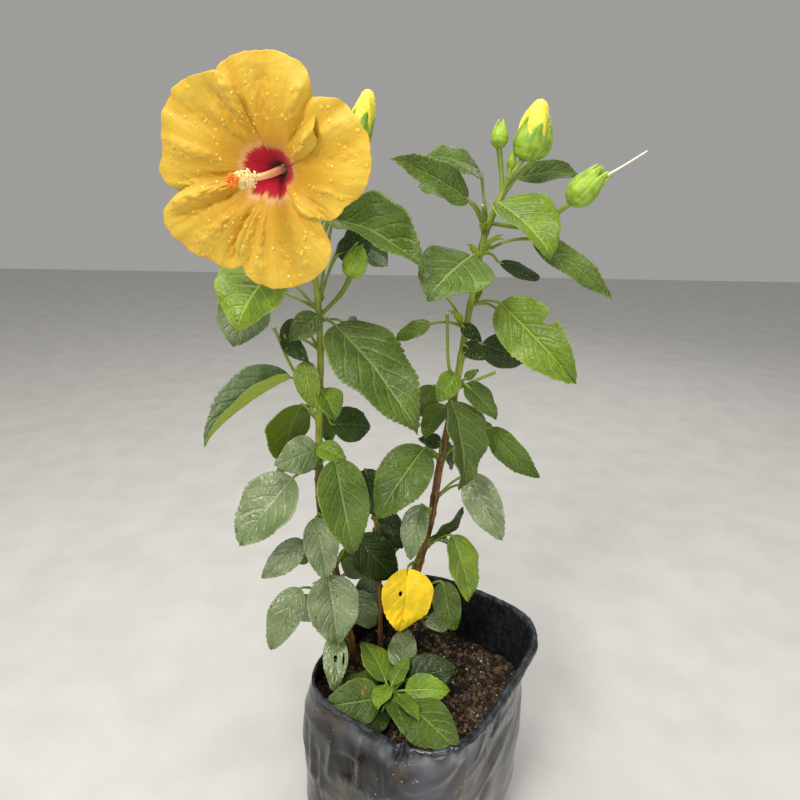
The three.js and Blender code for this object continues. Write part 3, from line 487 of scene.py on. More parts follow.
class Gathered:
    """Closed shapes that end up joined in one mesh."""

    def __init__(self):
        self.points = []
        self.faces = []
        self.finishes = []
        self.corners = {"OFBake": [], "LeafUV": []}
        self.marks = {}
        self.count = 0

    def add(self, points, faces, finish=0, uvs=None, marks=None):
        """uvs gives each face corner's place per map; marks gives a value per point."""
        start = self.count
        self.points.append(np.asarray(points, float))
        self.faces.extend([[start + k for k in face] for face in faces])
        self.finishes.extend([finish] * len(faces))
        for name, values in (uvs or {}).items():
            self.corners[name].append(values)
        for name, values in (marks or {}).items():
            self.marks.setdefault(name, []).append((start, np.broadcast_to(values, len(points))))
        self.count += len(points)

    def build(self, name, slot, finishes, nodes=()):
        mesh = bpy.data.meshes.new(name)
        mesh.from_pydata(np.concatenate(self.points) * MM, [], self.faces)
        for finish in finishes:
            mesh.materials.append(finish)
        mesh.polygons.foreach_set("material_index", self.finishes)
        mesh.polygons.foreach_set("use_smooth", [True] * len(self.faces))
        for layer, values in self.corners.items():
            if values:
                uv_map = mesh.uv_layers.new(name=layer)
                uv_map.data.foreach_set("uv", np.concatenate(values).ravel())
        for mark, parts in self.marks.items():
            whole = np.zeros(self.count)
            for start, values in parts:
                whole[start:start + len(values)] = values
            mesh.attributes.new(mark, "FLOAT", "POINT").data.foreach_set("value", whole)
        mesh.update()
        piece = bpy.data.objects.new(name, mesh)
        bpy.context.scene.collection.objects.link(piece)
        return seat(piece, nodes)


def seat(piece, nodes=()):
    """Puts a finished piece on the plant's one body, in place of its solids."""
    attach(piece, "root")
    if nodes:
        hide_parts(*nodes)
    return piece


def tube(line, radii, sides):
    """A closed limb round a line; radii is one value per ring, or one per corner."""
    line = np.asarray(line, float)
    radii = np.asarray(radii, float)
    if radii.ndim == 1:
        radii = radii[:, None]
    ways = np.gradient(line, axis=0)
    ways /= np.linalg.norm(ways, axis=1)[:, None]
    across = unit(np.cross(ways[0], (0.3, 0.8, 0.1) if abs(ways[0][2]) > 0.5 else (0, 0, 1)))
    angles = 2 * np.pi * np.arange(sides) / sides
    rings = []
    for centre, way, radius in zip(line, ways, radii):
        across = unit(across - way * (across @ way))
        other = np.cross(way, across)
        ring = np.outer(np.cos(angles), across) + np.outer(np.sin(angles), other)
        rings.append(centre + ring * np.broadcast_to(radius, sides)[:, None])
    count = len(line)
    points = np.concatenate([*rings, [line[0] - ways[0] * radii[0].mean() * 0.4],
                             [line[-1] + ways[-1] * radii[-1].mean() * 0.4]])
    faces = []
    for i in range(count - 1):
        for k in range(sides):
            after = (k + 1) % sides
            low, high = i * sides, (i + 1) * sides
            faces.append((low + k, low + after, high + after, high + k))
    foot, tip = count * sides, count * sides + 1
    last = (count - 1) * sides
    for k in range(sides):
        after = (k + 1) % sides
        faces.append((foot, after, k))
        faces.append((tip, last + k, last + after))
    return points, faces


def round_body(fine):
    """The points and faces of a ball of radius 1, with 20 or 80 faces."""
    made = bmesh.new()
    bmesh.ops.create_icosphere(made, subdivisions=fine, radius=1)
    points = np.array([v.co for v in made.verts])
    faces = [[v.index for v in face.verts] for face in made.faces]
    made.free()
    return points, faces


ROUND_BODIES = {fine: round_body(fine) for fine in (1, 2)}


def pellet(centre, sizes, axes=None, fine=1):
    """A small round body with its own size along each of its axes."""
    points, faces = ROUND_BODIES[fine]
    turned = np.eye(3) if axes is None else np.asarray(axes)
    return np.asarray(centre) + (points * np.asarray(sizes)) @ turned, faces


def closed_sheet(grid, half, facing=1, kept=None, ends=None):
    """A thin closed body over a grid: points, faces, the ids of their corners, and the normals.

    kept says which cells are there. ends holds the two points that close the
    first and last row, and the way from each to its upper copy.
    """
    normals = np.cross(np.gradient(grid, axis=1), np.gradient(grid, axis=0)) * facing
    normals /= np.linalg.norm(normals, axis=2)[..., None] + 1e-9
    rows, columns = grid.shape[:2]
    middle, out = grid.reshape(-1, 3), normals.reshape(-1, 3) * half
    if ends is not None:
        middle, out = np.concatenate([middle, ends[0]]), np.concatenate([out, ends[1]])
    total = len(middle)
    sheet = []
    for i in range(rows - 1):
        for j in range(columns - 1):
            if kept is None or kept[i, j]:
                a = i * columns + j
                sheet.append((a, a + 1, a + columns + 1, a + columns)[::facing])
    if ends is not None:
        last = (rows - 1) * columns
        for j in range(columns - 1):
            sheet.append((total - 2, j + 1, j))
            sheet.append((last + j, last + j + 1, total - 1))
    edges = {(corners[k - 1], corners[k]) for corners in sheet for k in range(len(corners))}
    rim = [(a, b) for a, b in sorted(edges) if (b, a) not in edges]
    faces = sheet + [tuple(k + total for k in reversed(corners)) for corners in sheet]
    faces += [(b, a, a + total, b + total) for a, b in rim]
    ids = [k for corners in faces[:2 * len(sheet)] for k in corners]
    ids += [k for a, b in rim for k in (b, a, a, b)]
    return np.concatenate([middle + out, middle - out]), faces, np.array(ids), normals


def bake_places(u, v, number, cells):
    """Places for both sides of a sheet, each in its own cell of the bake map."""
    both = (2 * number, 2 * number + 1)
    return np.concatenate([np.stack([u + k % cells, v + k // cells], axis=1) / cells for k in both])


def blade_share(s):
    """Half width of a blade at a share of its length, by its greatest half width."""
    peak = BLADE["widest_at"]
    return (s / peak) ** 0.5 * ((1 - s) / (1 - peak)) ** 0.9


def blade_axes(aim, pitch, roll):
    """The ways a blade points: ahead, sideways and out of its upper face."""
    ahead = heading(aim, pitch)
    level = np.array([math.sin(math.radians(aim)), -math.cos(math.radians(aim)), 0])
    crown = np.cross(level, ahead)
    turn = math.radians(roll)
    side = level * math.cos(turn) + crown * math.sin(turn)
    return ahead, side, crown * math.cos(turn) - level * math.sin(turn)


def midrib_point(foot, axes, length, share):
    ahead, _, face = axes
    return foot + ahead * share * length + face * 4 * BLADE["arch"] * length * share * (1 - share)


def joint(stem, height, leaves):
    """A joint's middle, and the side and point that its stalks start from."""
    centre, radius = stem_at(stem, height)
    side = unit(sum(heading(row[0], 0) for row in leaves))
    return centre, side, centre + side * (radius + PETIOLE["start"] * 0.6)


def blade_foot(centre, row):
    turn, reach, rise = row[:3]
    return centre + heading(turn, 0) * reach + np.array([0, 0, rise])


def stations(length, draw, close):
    """Shares of the length with a row of points, and how far the teeth of each side stand out there."""
    teeth = max(4, round(length / TOOTH))
    widths = np.array([0.65 + 0.7 * draw() for _ in range(teeth)])
    walked = np.concatenate([[0], np.cumsum(widths) / widths.sum()])
    starts = TOOTHED_FROM + (TOOTHED_TO - TOOTHED_FROM) * walked
    places = [0.012, 0.04, 0.08, 0.12]
    outs = [(0, 0)] * len(places)
    for k in range(teeth):
        grown = min(1, 0.15 + 0.17 * k) * widths[k]
        sizes = grown * (0.55 + 0.75 * draw()), grown * (0.55 + 0.75 * draw())
        for part, out in TOOTH_STEPS:
            places.append(starts[k] + part * (starts[k + 1] - starts[k]))
            outs.append((out * sizes[0], out * sizes[1]))
    places += [TOOTHED_TO + 0.004, 0.985]
    outs += [(0, 0)] * 2
    places, outs = np.array(places), np.array(outs) * TOOTH_DEPTH * length
    if close:
        fine = np.linspace(places[0], places[-1], 3 * len(places))
        outs = np.stack([np.interp(fine, places, outs[:, k]) for k in (0, 1)], axis=1)
        places = fine
    return places, outs


def out_of_spots(spots, s, x):
    """How far each place lies out of the nearest spot: 0 in its middle and 1 on its edge."""
    away = np.full(np.broadcast(s, x).shape, 9.0)
    for place_s, place_x, radius_s, radius_x in spots:
        away = np.minimum(away, ((s - place_s) / radius_s) ** 2 + ((x - place_x) / radius_x) ** 2)
    return away


def blade(foot, axes, length, width, fold, seed, bites=(), blight=()):
    """A leaf as a closed thin body with toothed margin, sunk veins and quilting."""
    draw = seeded(seed)
    ahead, side, face = axes
    s, teeth_out = stations(length, draw, bool(bites))
    wave_phase, wave_turns, curl, sway = draw(), 1.6 + 1.4 * draw(), draw(), draw() - 0.5
    s, x = s[:, None], (BITTEN_COLUMNS if bites else COLUMNS)[None, :]
    out = np.where(x > 0, teeth_out[:, :1], teeth_out[:, 1:])
    edge = np.abs(x) ** 5
    reach = blade_share(s) * (width / 2)
    across = x * reach + np.sign(x) * edge * out
    forward = s * length + edge * out * 0.6
    bow = 4 * BLADE["arch"] * length * s * (1 - s)
    ramp = math.radians(fold)
    lift = np.abs(across) * math.sin(ramp)
    lift = lift - curl * BLADE["curl"] * length * x ** 2 * (s * (1 - s) * 4)
    wave = np.sin(2 * np.pi * (wave_turns * s + wave_phase) + np.where(x > 0, 1.9, 0))
    loose = length * (1 if fold < STIFF_FOLD else STIFF)
    lift = lift + BLADE["edge_wave"] * loose * x ** 2 * wave * np.minimum(1, 4 * s)
    pucker = noise_grid(3.6 * s + seed % 31, 1.8 * x, seed % 17)
    lift = lift + BLADE["pucker"] * loose * pucker * np.minimum(1, 5 * s)
    vein = VEINS * (s - VEIN_SWEEP * np.abs(x) ** VEIN_BEND)
    quilt = np.abs(np.sin(np.pi * vein)) ** 0.7 - 0.5
    size = min(1, length / 70)
    lift = lift + BLADE["quilt"] * size * quilt * (1 - x ** 4) * np.minimum(1, np.abs(x) * 6)
    lift = lift - BLADE["midrib_sunk"] * size * np.maximum(0, 1 - np.abs(x) * 5)
    lift = lift - BLADE["droop"] * length * np.clip((s - 0.82) / 0.18, 0, 1) ** 2
    swing = sway * BLADE["sway"] * length * np.sin(np.pi * s)
    grid = (foot + forward[..., None] * ahead
            + (across * math.cos(ramp) + swing)[..., None] * side + (bow + lift)[..., None] * face)
    half = BLADE["thick"] / 2
    tip = midrib_point(foot, axes, length, 1) - face * BLADE["droop"] * length + ahead * 0.6
    kept = out_of_spots(bites, (s[:-1] + s[1:]) / 2, (x[:, :-1] + x[:, 1:]) / 2) > 1
    ends = np.stack([foot, tip]), np.stack([face, face]) * half * 0.6
    points, faces, ids, normals = closed_sheet(grid, half, kept=kept, ends=ends)
    flat_x, flat_s, leaf_x, leaf_s = (
        np.concatenate([np.broadcast_to(values, grid.shape[:2]).ravel(), at_ends])
        for values, at_ends in (
            (across / length, [0, 0]), (forward / length, [0, 1]), (x, [0, 0]), (s, [0, 1]))
    )
    sick = np.clip(1.6 - out_of_spots(blight, leaf_s, leaf_x), 0, 1)
    return {
        "points": points, "faces": faces, "ids": ids, "flat_x": flat_x, "flat_s": flat_s,
        "leaf": np.stack([leaf_x / 2 + 0.5, leaf_s], axis=1),
        "under": np.repeat([0.0, 1.0], len(points) // 2), "sick": np.tile(sick, 2), "shade": draw(),
        "grid": points[:s.size * x.size].reshape(grid.shape), "normals": normals,
    }


def lay_out(leaves, gathered):
    """Adds leaves to a mesh, each side flat in its own cell of the bake map."""
    cells = math.ceil(math.sqrt(2 * len(leaves)))
    for number, (made, finish) in enumerate(leaves):
        size = max(1.0, 2 * np.abs(made["flat_x"]).max())
        u, v = made["flat_x"] / size * 0.9 + 0.5, made["flat_s"] / size * 0.88 + 0.05
        bake, leaf = bake_places(u, v, number, cells), np.tile(made["leaf"], (2, 1))
        gathered.add(
            made["points"], made["faces"], finish,
            uvs={"OFBake": bake[made["ids"]], "LeafUV": leaf[made["ids"]]},
            marks={name: made[name] for name in ("under", "sick", "shade")},
        )


def petiole(start, foot, sunk, draw):
    """A leaf stalk, thicker at its joint and just below its blade."""
    bend = (start + foot) / 2 + np.array([0, 0, PETIOLE["arch"] * np.linalg.norm(foot - start)])
    line = smooth_line([start, bend, foot, sunk], 16)
    share = np.linspace(0, 1, len(line))
    radii = PETIOLE["start"] + (PETIOLE["end"] - PETIOLE["start"]) * share
    radii += 0.45 * swelling(share, 0, 0.1) + 0.25 * swelling(share, 0.72, 0.08)
    radii *= np.interp(share, [0, 0.8, 1], [1, 1, 0.55])
    line = line + rough(line, 14, draw() * 50)[:, None] * 0.35
    return tube(line, radii, 8)


def stipule(start, ahead, length):
    """One of the thin bracts at a joint: a narrow pointed tongue."""
    end = start + ahead * length + np.array([0, 0, 0.12 * length])
    return tube(smooth_line([start, start + ahead * length * 0.5, end], 5), STIPULE_RADII, 5)


def leaf_points(centre, row):
    """Points spread over a leaf, for the young shoots to keep clear of."""
    foot = blade_foot(centre, row)
    return [foot + heading(row[3], row[4]) * s * row[5] for s in (0, 0.3, 0.6, 0.9)]


LEAF_MARKS = [
    (name, point) for name, (stem, height, leaves) in SPRAYS.items()
    for row in leaves for point in leaf_points(stem_at(stem, height)[0], row)
]
BUD_MARKS = [
    np.array(point, float) for rows in BUDS.values() for _, _, bend, foot, tip, _, _ in rows
    for point in (bend, foot, (np.array(foot) + np.array(tip)) / 2)
]


def shoot(name, seed, side, start):
    """Where the young shoot of a joint stands: its foot, turn, rise and length, or None if crowded."""
    draw = seeded(seed)
    turn = math.degrees(math.atan2(side[1], side[0])) + AXIL["spread"] * (2 * draw() - 1)
    rise = AXIL["rise"] + AXIL["rise_spread"] * draw()
    length = AXIL["length"] + AXIL["length_spread"] * draw()
    ahead = heading(turn, rise)
    foot = start + ahead * AXIL["stalk"]
    reached = [foot + ahead * length * share for share in (0, 0.5, 1)]
    others = [point for mark, point in LEAF_MARKS if mark != name] + BUD_MARKS
    crowded = any(np.linalg.norm(p - q) < AXIL["clear"] for p in others for q in reached)
    if crowded or start[2] < BAG["rim_mean"] + BAG["rim_rise"]:
        return None
    return foot, turn, rise, length


def zone_of(name, stem, height):
    """The part of the plant that a spray is joined with."""
    side = stem.split("_")[0]
    if name == "yellow_leaf":
        return "yellow"
    if side in ("left", "right"):
        return f"{side}_{'high' if height > HIGH_FROM else 'low'}"
    return side


def leafage(finishes, tones, stalk_skin):
    """Every leaf, stalk and young shoot, joined by the zone of the plant."""
    zones = {}
    dewy = []
    for name, (stem, height, leaves) in SPRAYS.items():
        zone = zone_of(name, stem, height)
        group = zones.setdefault(zone, {"leaves": [], "stalks": Gathered(), "nodes": []})
        group["nodes"].append(name)
        stalks = group["stalks"]
        centre, side, start = joint(stem, height, leaves)
        draw = seeded(round(height * 17 + leaves[0][3]))
        for number, row in enumerate(leaves):
            turn_out, _, _, aim, pitch, length, width, roll, fold, tone = row
            foot = blade_foot(centre, row)
            axes = blade_axes(aim, pitch, roll)
            seed = round(height * 13 + turn_out * 7 + length)
            made = blade(foot, axes, length, width, fold, seed, **WEAR.get((name, number), {}))
            group["leaves"].append((made, tones.index(tone)))
            if tone != "yellow":
                dewy.append(made)
            sunk = midrib_point(foot, axes, length, min(PETIOLE["sink"] / length, 0.2))
            stalks.add(*petiole((centre + start) / 2, foot, sunk - axes[2] * 0.5, draw))
            for aside in (-35, 35):
                ahead = heading(turn_out + aside, 35 + 30 * draw())
                stalks.add(*stipule(start - ahead, ahead, 4 + 3 * draw()))
        sprout = shoot(name, round(height * 31 + leaves[0][0]), side, start)
        if sprout:
            foot, turn, rise, length = sprout
            stalks.add(*petiole(start, foot, foot + heading(turn, rise) * length / 4, draw))
            for swing, climb, part in SHOOT_LEAVES:
                axes = blade_axes(turn + swing, min(85, rise + climb), 20 * (2 * draw() - 1))
                size = length * part
                made = blade(foot, axes, size, size * AXIL["width"], 30, round(height + swing))
                group["leaves"].append((made, tones.index("young")))
    for zone, group in zones.items():
        gathered = Gathered()
        lay_out(group["leaves"], gathered)
        slot = "yellow_leaf" if zone == "yellow" else "leaf"
        gathered.build(f"leaves_{zone}", slot, finishes, group["nodes"])
        group["stalks"].build(f"leaf_stalks_{zone}", "stalk", [stalk_skin], group["nodes"])
    return dewy


# Bark

def stem_mesh(name, finish):
    """A stem with swollen joints, pores and fine ridges in its bark."""
    stem = STEMS[name]
    lowest = stem["path"][0][2]
    line = smooth_line(stem["path"], max(16, round((stem["path"][-1][2] - lowest) / BARK["step"])))
    radii = stem["foot"] + (stem["tip"] - stem["foot"]) * np.linspace(0, 1, len(line))
    for height in [row[1] for row in SPRAYS.values() if row[0] == name]:
        for above, swell, spread in JOINT_SWELLINGS:
            radii = radii * (1 + swell * swelling(line[:, 2], height + above, spread))
    sides = BARK["sides"]
    woody = np.clip((stem["green_from"] + 40 - line[:, 2]) / 80, 0.15, 1)
    bark = np.empty((len(line), sides))
    for i, (centre, rough_here) in enumerate(zip(line, woody)):
        for k in range(sides):
            angle = 2 * np.pi * k / sides
            ridge = ring_noise(angle, 3.9, centre[2] * 1.3 / 16)
            pore = max(0.0, ring_noise(angle, 2.2, centre[2] / 2.2) - 0.33)
            bark[i, k] = 1 + rough_here * (BARK["ridge"] * ridge + BARK["pore"] * pore)
    points, faces = tube(line, radii[:, None] * bark, sides)
    points[:, 2] = np.maximum(points[:, 2], lowest - 4)
    gathered = Gathered()
    gathered.add(points, faces)
    return gathered.build(f"{name}_bark", "bark", [finish], [name])


# The bloom

def rim_reach(rim, clock):
    """How far a petal reaches at a clock angle, smooth through the rim's points."""
    curve = smooth_line([(a, r, 0) for a, r in rim], 120)
    return np.interp(clock, curve[:, 0], curve[:, 1])


def smoothed(grid, reach):
    """A grid averaged over its neighbours on all sides."""
    for axis in (0, 1):
        padding = [(reach, reach) if k == axis else (0, 0) for k in (0, 1)]
        padded = np.pad(grid, padding, mode="edge")
        grid = sum(np.roll(padded, k, axis) for k in range(-reach, reach + 1)) / (2 * reach + 1)
        grid = grid[reach:-reach] if axis == 0 else grid[:, reach:-reach]
    return grid


def bloom_axes():
    throat = np.array(BLOOM["throat"], float)
    face = heading(BLOOM["faces"], BLOOM["nods"])
    right = unit(np.cross((0, 0, 1), face))
    return throat, face, right, np.cross(face, right)


def opening(reach):
    return BLOOM["funnel"] * (1 - np.exp(-reach / BLOOM["throat_width"])) - BLOOM["sunk"]


def petal_grid(name, rim):
    """The middle surface of a petal, with each point's clock angle, share, reach and how deep it lies in a
    fold, for the painted shade there.
    """
    throat, face, right, up = bloom_axes()
    seed = len(name) * 3.7
    clock = np.linspace(rim[0][0], rim[-1][0], PETAL_COLUMNS)[None, :]
    s = np.linspace(0.03, 1, PETAL_ROWS)[:, None] ** 0.85
    t = (clock - rim[0][0]) / (rim[-1][0] - rim[0][0])
    reach = s * (rim_reach(rim, clock) + 0.9 * noise_grid(clock / 4, s * 0, seed) * s ** 2)
    height = opening(reach) + BLOOM["swirl"] * (1 - 2 * t) * s ** 1.9 - BLOOM["curled_back"] * s ** 7
    for tall, degrees, lumps, shift, power in PETAL_WAVES:
        height = height + tall * noise_grid(clock / degrees, s * lumps, seed + shift) * s ** power
    height = height + 0.3 * noise_grid(clock * reach / 260, reach / 4.5, seed + 8) * s
    for at_clock, inner, outer, wide, high in CRUMPLES[name]:
        away = (clock + (reach - inner) * 0.12 * math.sin(at_clock) - at_clock) / wide
        band = np.clip((reach - inner) / 9, 0, 1) * np.clip((outer - reach) / 9, 0, 1)
        crinkle = 1 + 0.7 * noise_grid(clock / 2.5, reach / 5, seed + at_clock)
        height = height + high * np.exp(-away ** 2) * band * crinkle
    turn = np.radians(clock)
    grid = (throat + (reach * np.cos(turn))[..., None] * right + (reach * np.sin(turn))[..., None] * up
            + height[..., None] * face)
    # How far a point lies below its smoothed neighbours; the finish paints shade in the folds with it.
    fold_shade = np.clip(-(height - smoothed(height, 7)) / 0.7, 0, 1)
    same = np.ones_like(reach)
    return grid, clock * same, s * same, reach, t * same, fold_shade


def bloom(finishes, sepals, stalk_skin):
    """Petals, the column with its anthers and stigmas, the calyx and its stalk."""
    throat, face, right, up = bloom_axes()
    half = BLOOM["thick"] / 2
    petals = Gathered()
    dewy = []
    for number, (name, rim) in enumerate(PETALS.items()):
        grid, clock, s, reach, t, fold_shade = petal_grid(name, rim)
        points, faces, ids, normals = closed_sheet(grid, half)
        eye_reach, halo_strength = EYE[name]
        ragged = noise_grid(clock / 5, reach * 0, number + 1.5)
        ragged = ragged + 0.7 * noise_grid(clock / 1.7, reach * 0.02, number)
        edge = eye_reach + EYE_RAGGED * ragged + 2 * np.sin(np.pi * t)
        # deep rises towards the throat; the finish paints shade there with it.
        marks = {
            "eye": np.clip((edge - reach) / EYE_SOFT + 0.5, 0, 1),
            "halo": swelling(reach, edge + 1.6, HALO_WIDTH) * halo_strength,
            "rim": s, "deep": np.exp(-reach / 14), "fold_shade": fold_shade,
        }
        bake = bake_places(t.ravel() * 0.94 + 0.03, s.ravel() * 0.94 + 0.03, number, 4)
        leaf = np.tile(np.stack([clock.ravel() / 90 + 1, s.ravel()], axis=1), (2, 1))
        petals.add(points, faces, 0, uvs={"OFBake": bake[ids], "LeafUV": leaf[ids]},
                   marks={key: np.tile(value.ravel(), 2) for key, value in marks.items()})
        dewy.append({"grid": grid - normals * half, "normals": -normals})
    petals.build("bloom_petals", "petal", [finishes["petal"]], ["bloom"])
    column(throat, face, right, up, finishes)
    foot = throat - face * BLOOM["calyx_back"]
    green = Gathered()
    calyx(green, foot, throat + face * 4, BLOOM["calyx_radius"], BLOOM_CALYX, 0.86)
    bracts(green, foot, face, 4.2, 13, 5)
    green.build("bloom_calyx", "bud", [sepals], ["bloom"])
    tip = stem_at("left_stem", STEMS["left_stem"]["path"][-1][2])[0]
    stalk = Gathered()
    bend = (tip + foot) / 2 + np.array([0, 3, 2])
    path = smooth_line([tip - np.array([0, 0, 2]), bend, foot + face * 3], 24)
    share = np.linspace(0, 1, len(path))
    stalk.add(*tube(path, 2.0 + 0.6 * share + 0.5 * swelling(share, 0.45, 0.05), 14))
    stalk.build("bloom_stalk", "stalk", [stalk_skin], ["bloom"])
    return dewy


def column(throat, face, right, up, finishes):
    """The staminal column: filaments and anthers round its outer part, and five stigmas."""
    tip = throat + face * BLOOM["column"] - right * 3 + up * 3
    path = smooth_line([throat - face * 4, (throat + tip) / 2 - up * 1.5, tip], 40)
    share = np.linspace(0, 1, len(path))
    body, anthers, stigmas = Gathered(), Gathered(), Gathered()
    body.add(*tube(path, np.interp(share, [0, 0.5, 1], [2.7, 2.0, 1.1]), 16),
             marks={"along": np.concatenate([np.repeat(share, 16), [0, 1]])})
    draw = seeded(4711)
    for k in range(ANTHERS["count"]):
        place = ANTHERS["first"] + (ANTHERS["last"] - ANTHERS["first"]) * k / ANTHERS["count"]
        at = path[int(place * (len(path) - 1))]
        turn = 2.4 * k + 0.5 * draw()
        out = unit(right * math.cos(turn) + up * math.sin(turn) + face * (0.1 + 0.6 * draw()))
        length = ANTHERS["thread"] + ANTHERS["thread_spread"] * draw()
        thread = smooth_line([at, at + out * length * 0.6 + face * 0.4, at + out * length], 4)
        body.add(*tube(thread, np.full(5, ANTHERS["thin"]), 5), marks={"along": 1})
        axes = np.stack([unit(np.cross(out, face)), unit(np.cross(out, right + 0.3)), out])
        anthers.add(*pellet(at + out * length, ANTHERS["size"], axes, 2))
    for k in range(5):
        turn = math.radians(72 * k + 20)
        out = unit(right * math.cos(turn) + up * math.sin(turn) + face * 1.2)
        thread = smooth_line([path[-1], path[-1] + face * 2 + out, path[-1] + out * STIGMAS["reach"]], 6)
        stigmas.add(*tube(thread, np.full(7, STIGMAS["thread"]), 6))
        stigmas.add(*pellet(thread[-1], STIGMAS["size"], None, 2))
        for _ in range(STIGMAS["velvet"]):
            fuzz = unit(np.array([2 * draw() - 1 for _ in range(3)]))
            stigmas.add(*pellet(thread[-1] + fuzz * STIGMAS["pile"], np.full(3, 0.2 + 0.25 * draw())))
    for name, gathered in (("column", body), ("anthers", anthers), ("stigmas", stigmas)):
        gathered.build(f"bloom_{name}", "petal", [finishes[name]], ["bloom"])


def calyx(gathered, foot, tip, radius, profile, lobes_from, flare=0.0):
    """Five sepals that wrap round an axis and part into pointed lobes."""
    axis = unit(tip - foot)
    length = np.linalg.norm(tip - foot)
    side = unit(np.cross((0, 0, 1), axis))
    other = np.cross(axis, side)
    s = np.linspace(0, 1, 30)[:, None]
    x = np.linspace(-1, 1, 17)[None, :]
    lobe = np.clip((s - lobes_from * 0.5) / (1 - lobes_from * 0.5), 0, 1)
    half_angle = 0.72 * (1 - lobe ** 2.2)
    wide = np.interp(s, *profile) * radius
    ribs = 0.03 * np.cos(x * 1.5 * np.pi) ** 4 * (1 - x ** 2) - 0.06 * np.abs(x) ** 3
    keel = 0.07 * (1 - np.abs(x)) * lobe
    marks = {
        "edge": np.clip((np.abs(x) - 0.75) / 0.25, 0, 1) * lobe ** 0.5,
        "rib": np.cos(x * 1.5 * np.pi) ** 6 * np.ones_like(lobe),
    }
    for k in range(5):
        swing = 0.1 + 0.12 * math.sin(5 * k + length)
        angle = 2 * np.pi * k / 5 + x * half_angle + swing * s ** 2
        around = np.cos(angle)[..., None] * side + np.sin(angle)[..., None] * other
        bent = flare * radius * lobe ** 2.5 * (1 + 0.5 * math.sin(7 * k + length))
        out = wide + (ribs + keel) * radius * np.minimum(1, 6 * s) + bent
        reach = length * s * (1 - 0.06 * (1 + math.sin(3 * k + length)) * lobe)
        grid = foot + reach[..., None] * axis + out[..., None] * around
        points, faces, _, _ = closed_sheet(grid, 0.35, facing=-1)
        gathered.add(points, faces, marks={key: np.tile(value.ravel(), 2) for key, value in marks.items()})


def bracts(gathered, foot, axis, radius, length, seed):
    """The ring of eight narrow bracts under a calyx."""
    draw = seeded(seed)
    side = unit(np.cross((0, 0, 1), axis))
    other = np.cross(axis, side)
    for k in range(8):
        turn = 2 * math.pi * k / 8 + 0.3 * draw()
        out = side * math.cos(turn) + other * math.sin(turn)
        size = length * (0.8 + 0.4 * draw())
        line = smooth_line([foot + out * radius * 0.3, foot + out * radius * 1.2 + axis * size * 0.3,
                            foot + out * radius * 1.4 + axis * size], 8)
        gathered.add(*tube(line, BRACT_RADII, 6))


def furled_petals(foot, tip, radius):
    """Petals wound round each other: a body with spiral ridges and a blunt, loose tip."""
    s = np.linspace(0.06, 1, 70)
    sides = 72
    angle = 2 * np.pi * np.arange(sides) / sides
    around = (angle[None, :] / (2 * np.pi) * 5 + 1.3 * s[:, None]) % 1
    ridge = 0.24 * around ** 1.5 - 0.1
    wrinkle = 0.02 * np.sin(s[:, None] * 60 + angle[None, :] * 3)
    width = np.interp(s, *FURLED)[:, None] * radius
    return tube(foot + np.outer(s, tip - foot), width * (1 + ridge + wrinkle * s[:, None]), sides)


def buds(sepals, petals, stalk_skin, style_skin):
    """Every bud on its stalk: sepals, bracts and, where it opens, furled petals."""
    green, furled, stalks, style = Gathered(), Gathered(), Gathered(), Gathered()
    for name, rows in BUDS.items():
        for stem, height, bend, foot, tip, radius, open_share in rows:
            bend, foot, tip = (np.array(p, float) for p in (bend, foot, tip))
            axis, length = unit(tip - foot), np.linalg.norm(tip - foot)
            path = smooth_line([stem_at(stem, height)[0], bend, foot + axis * 2], 26)
            share = np.linspace(0, 1, len(path))
            stalks.add(*tube(path, 1.7 + 0.6 * share ** 3 + 0.35 * swelling(share, 0.6, 0.05), 12))
            if open_share:
                calyx(green, foot, foot + axis * length * 0.72, radius, OPEN_BUD, 0.8, OPEN_FLARE)
                furled.add(*furled_petals(foot, tip, radius))
            else:
                calyx(green, foot, tip, radius, CLOSED_BUD, 0.95, FLARES.get(name, CLOSED_FLARE))
                s = np.linspace(0.03, 0.9, 18)
                green.add(*tube(foot + np.outer(s, tip - foot), np.interp(s, *BUD_CORE) * radius, 20))
            young = radius <= 4
            bracts(green, foot, axis, radius * 0.55, length * (1 if young else 0.4), round(height + radius))
    start, end = (np.array(STYLE[k], float) for k in ("from", "to"))
    thread = smooth_line([start - (end - start) * 0.2, (start + end) / 2 + np.array([0, 0, -0.8]), end], 30)
    style.add(*tube(thread, np.linspace(STYLE["radius"] * 1.2, STYLE["radius"] * 0.7, 31), 8))
    nodes = list(BUDS)
    green.build("bud_sepals", "bud", [sepals], nodes)
    furled.build("bud_petals", "petal", [petals], nodes)
    stalks.build("bud_stalks", "stalk", [stalk_skin], nodes)
    style.build("spent_style", "petal", [style_skin], ["right_side_bud"])


def cut_end(stalks, tip, way, radii, sides):
    """The pale end of a cut stalk."""
    line = np.stack([tip - way * 0.4, tip + way * 0.5])
    stalks.add(*tube(line, np.array(radii), sides), finish=1)


def bare_stalks(finish, cut_skin):
    """Stalks whose leaves have fallen, each with its pale cut end."""
    stalks = Gathered()
    for stem, height, ends in BARE_STALKS.values():
        path = smooth_line([stem_at(stem, height)[0], *ends], 30)
        share = np.linspace(0, 1, len(path))
        radii = 1.5 - 0.3 * share + 0.5 * swelling(share, 0, 0.08) + 0.35 * swelling(share, 1, 0.05)
        stalks.add(*tube(path, radii, 12))
        cut_end(stalks, path[-1], unit(path[-1] - path[-2]), (1.25, 1.1), 12)
    for start, end in STUBS:
        start, end = np.array(start, float), np.array(end, float)
        path = smooth_line([start, (start + end) / 2 + 0.4, end], 10)
        stalks.add(*tube(path, np.linspace(*STUB_RADII, 11), 10))
        cut_end(stalks, end, unit(end - start), (1.15, 1.0), 10)
    stalks.build("bare_stalks", "stalk", [finish, cut_skin], list(BARE_STALKS))


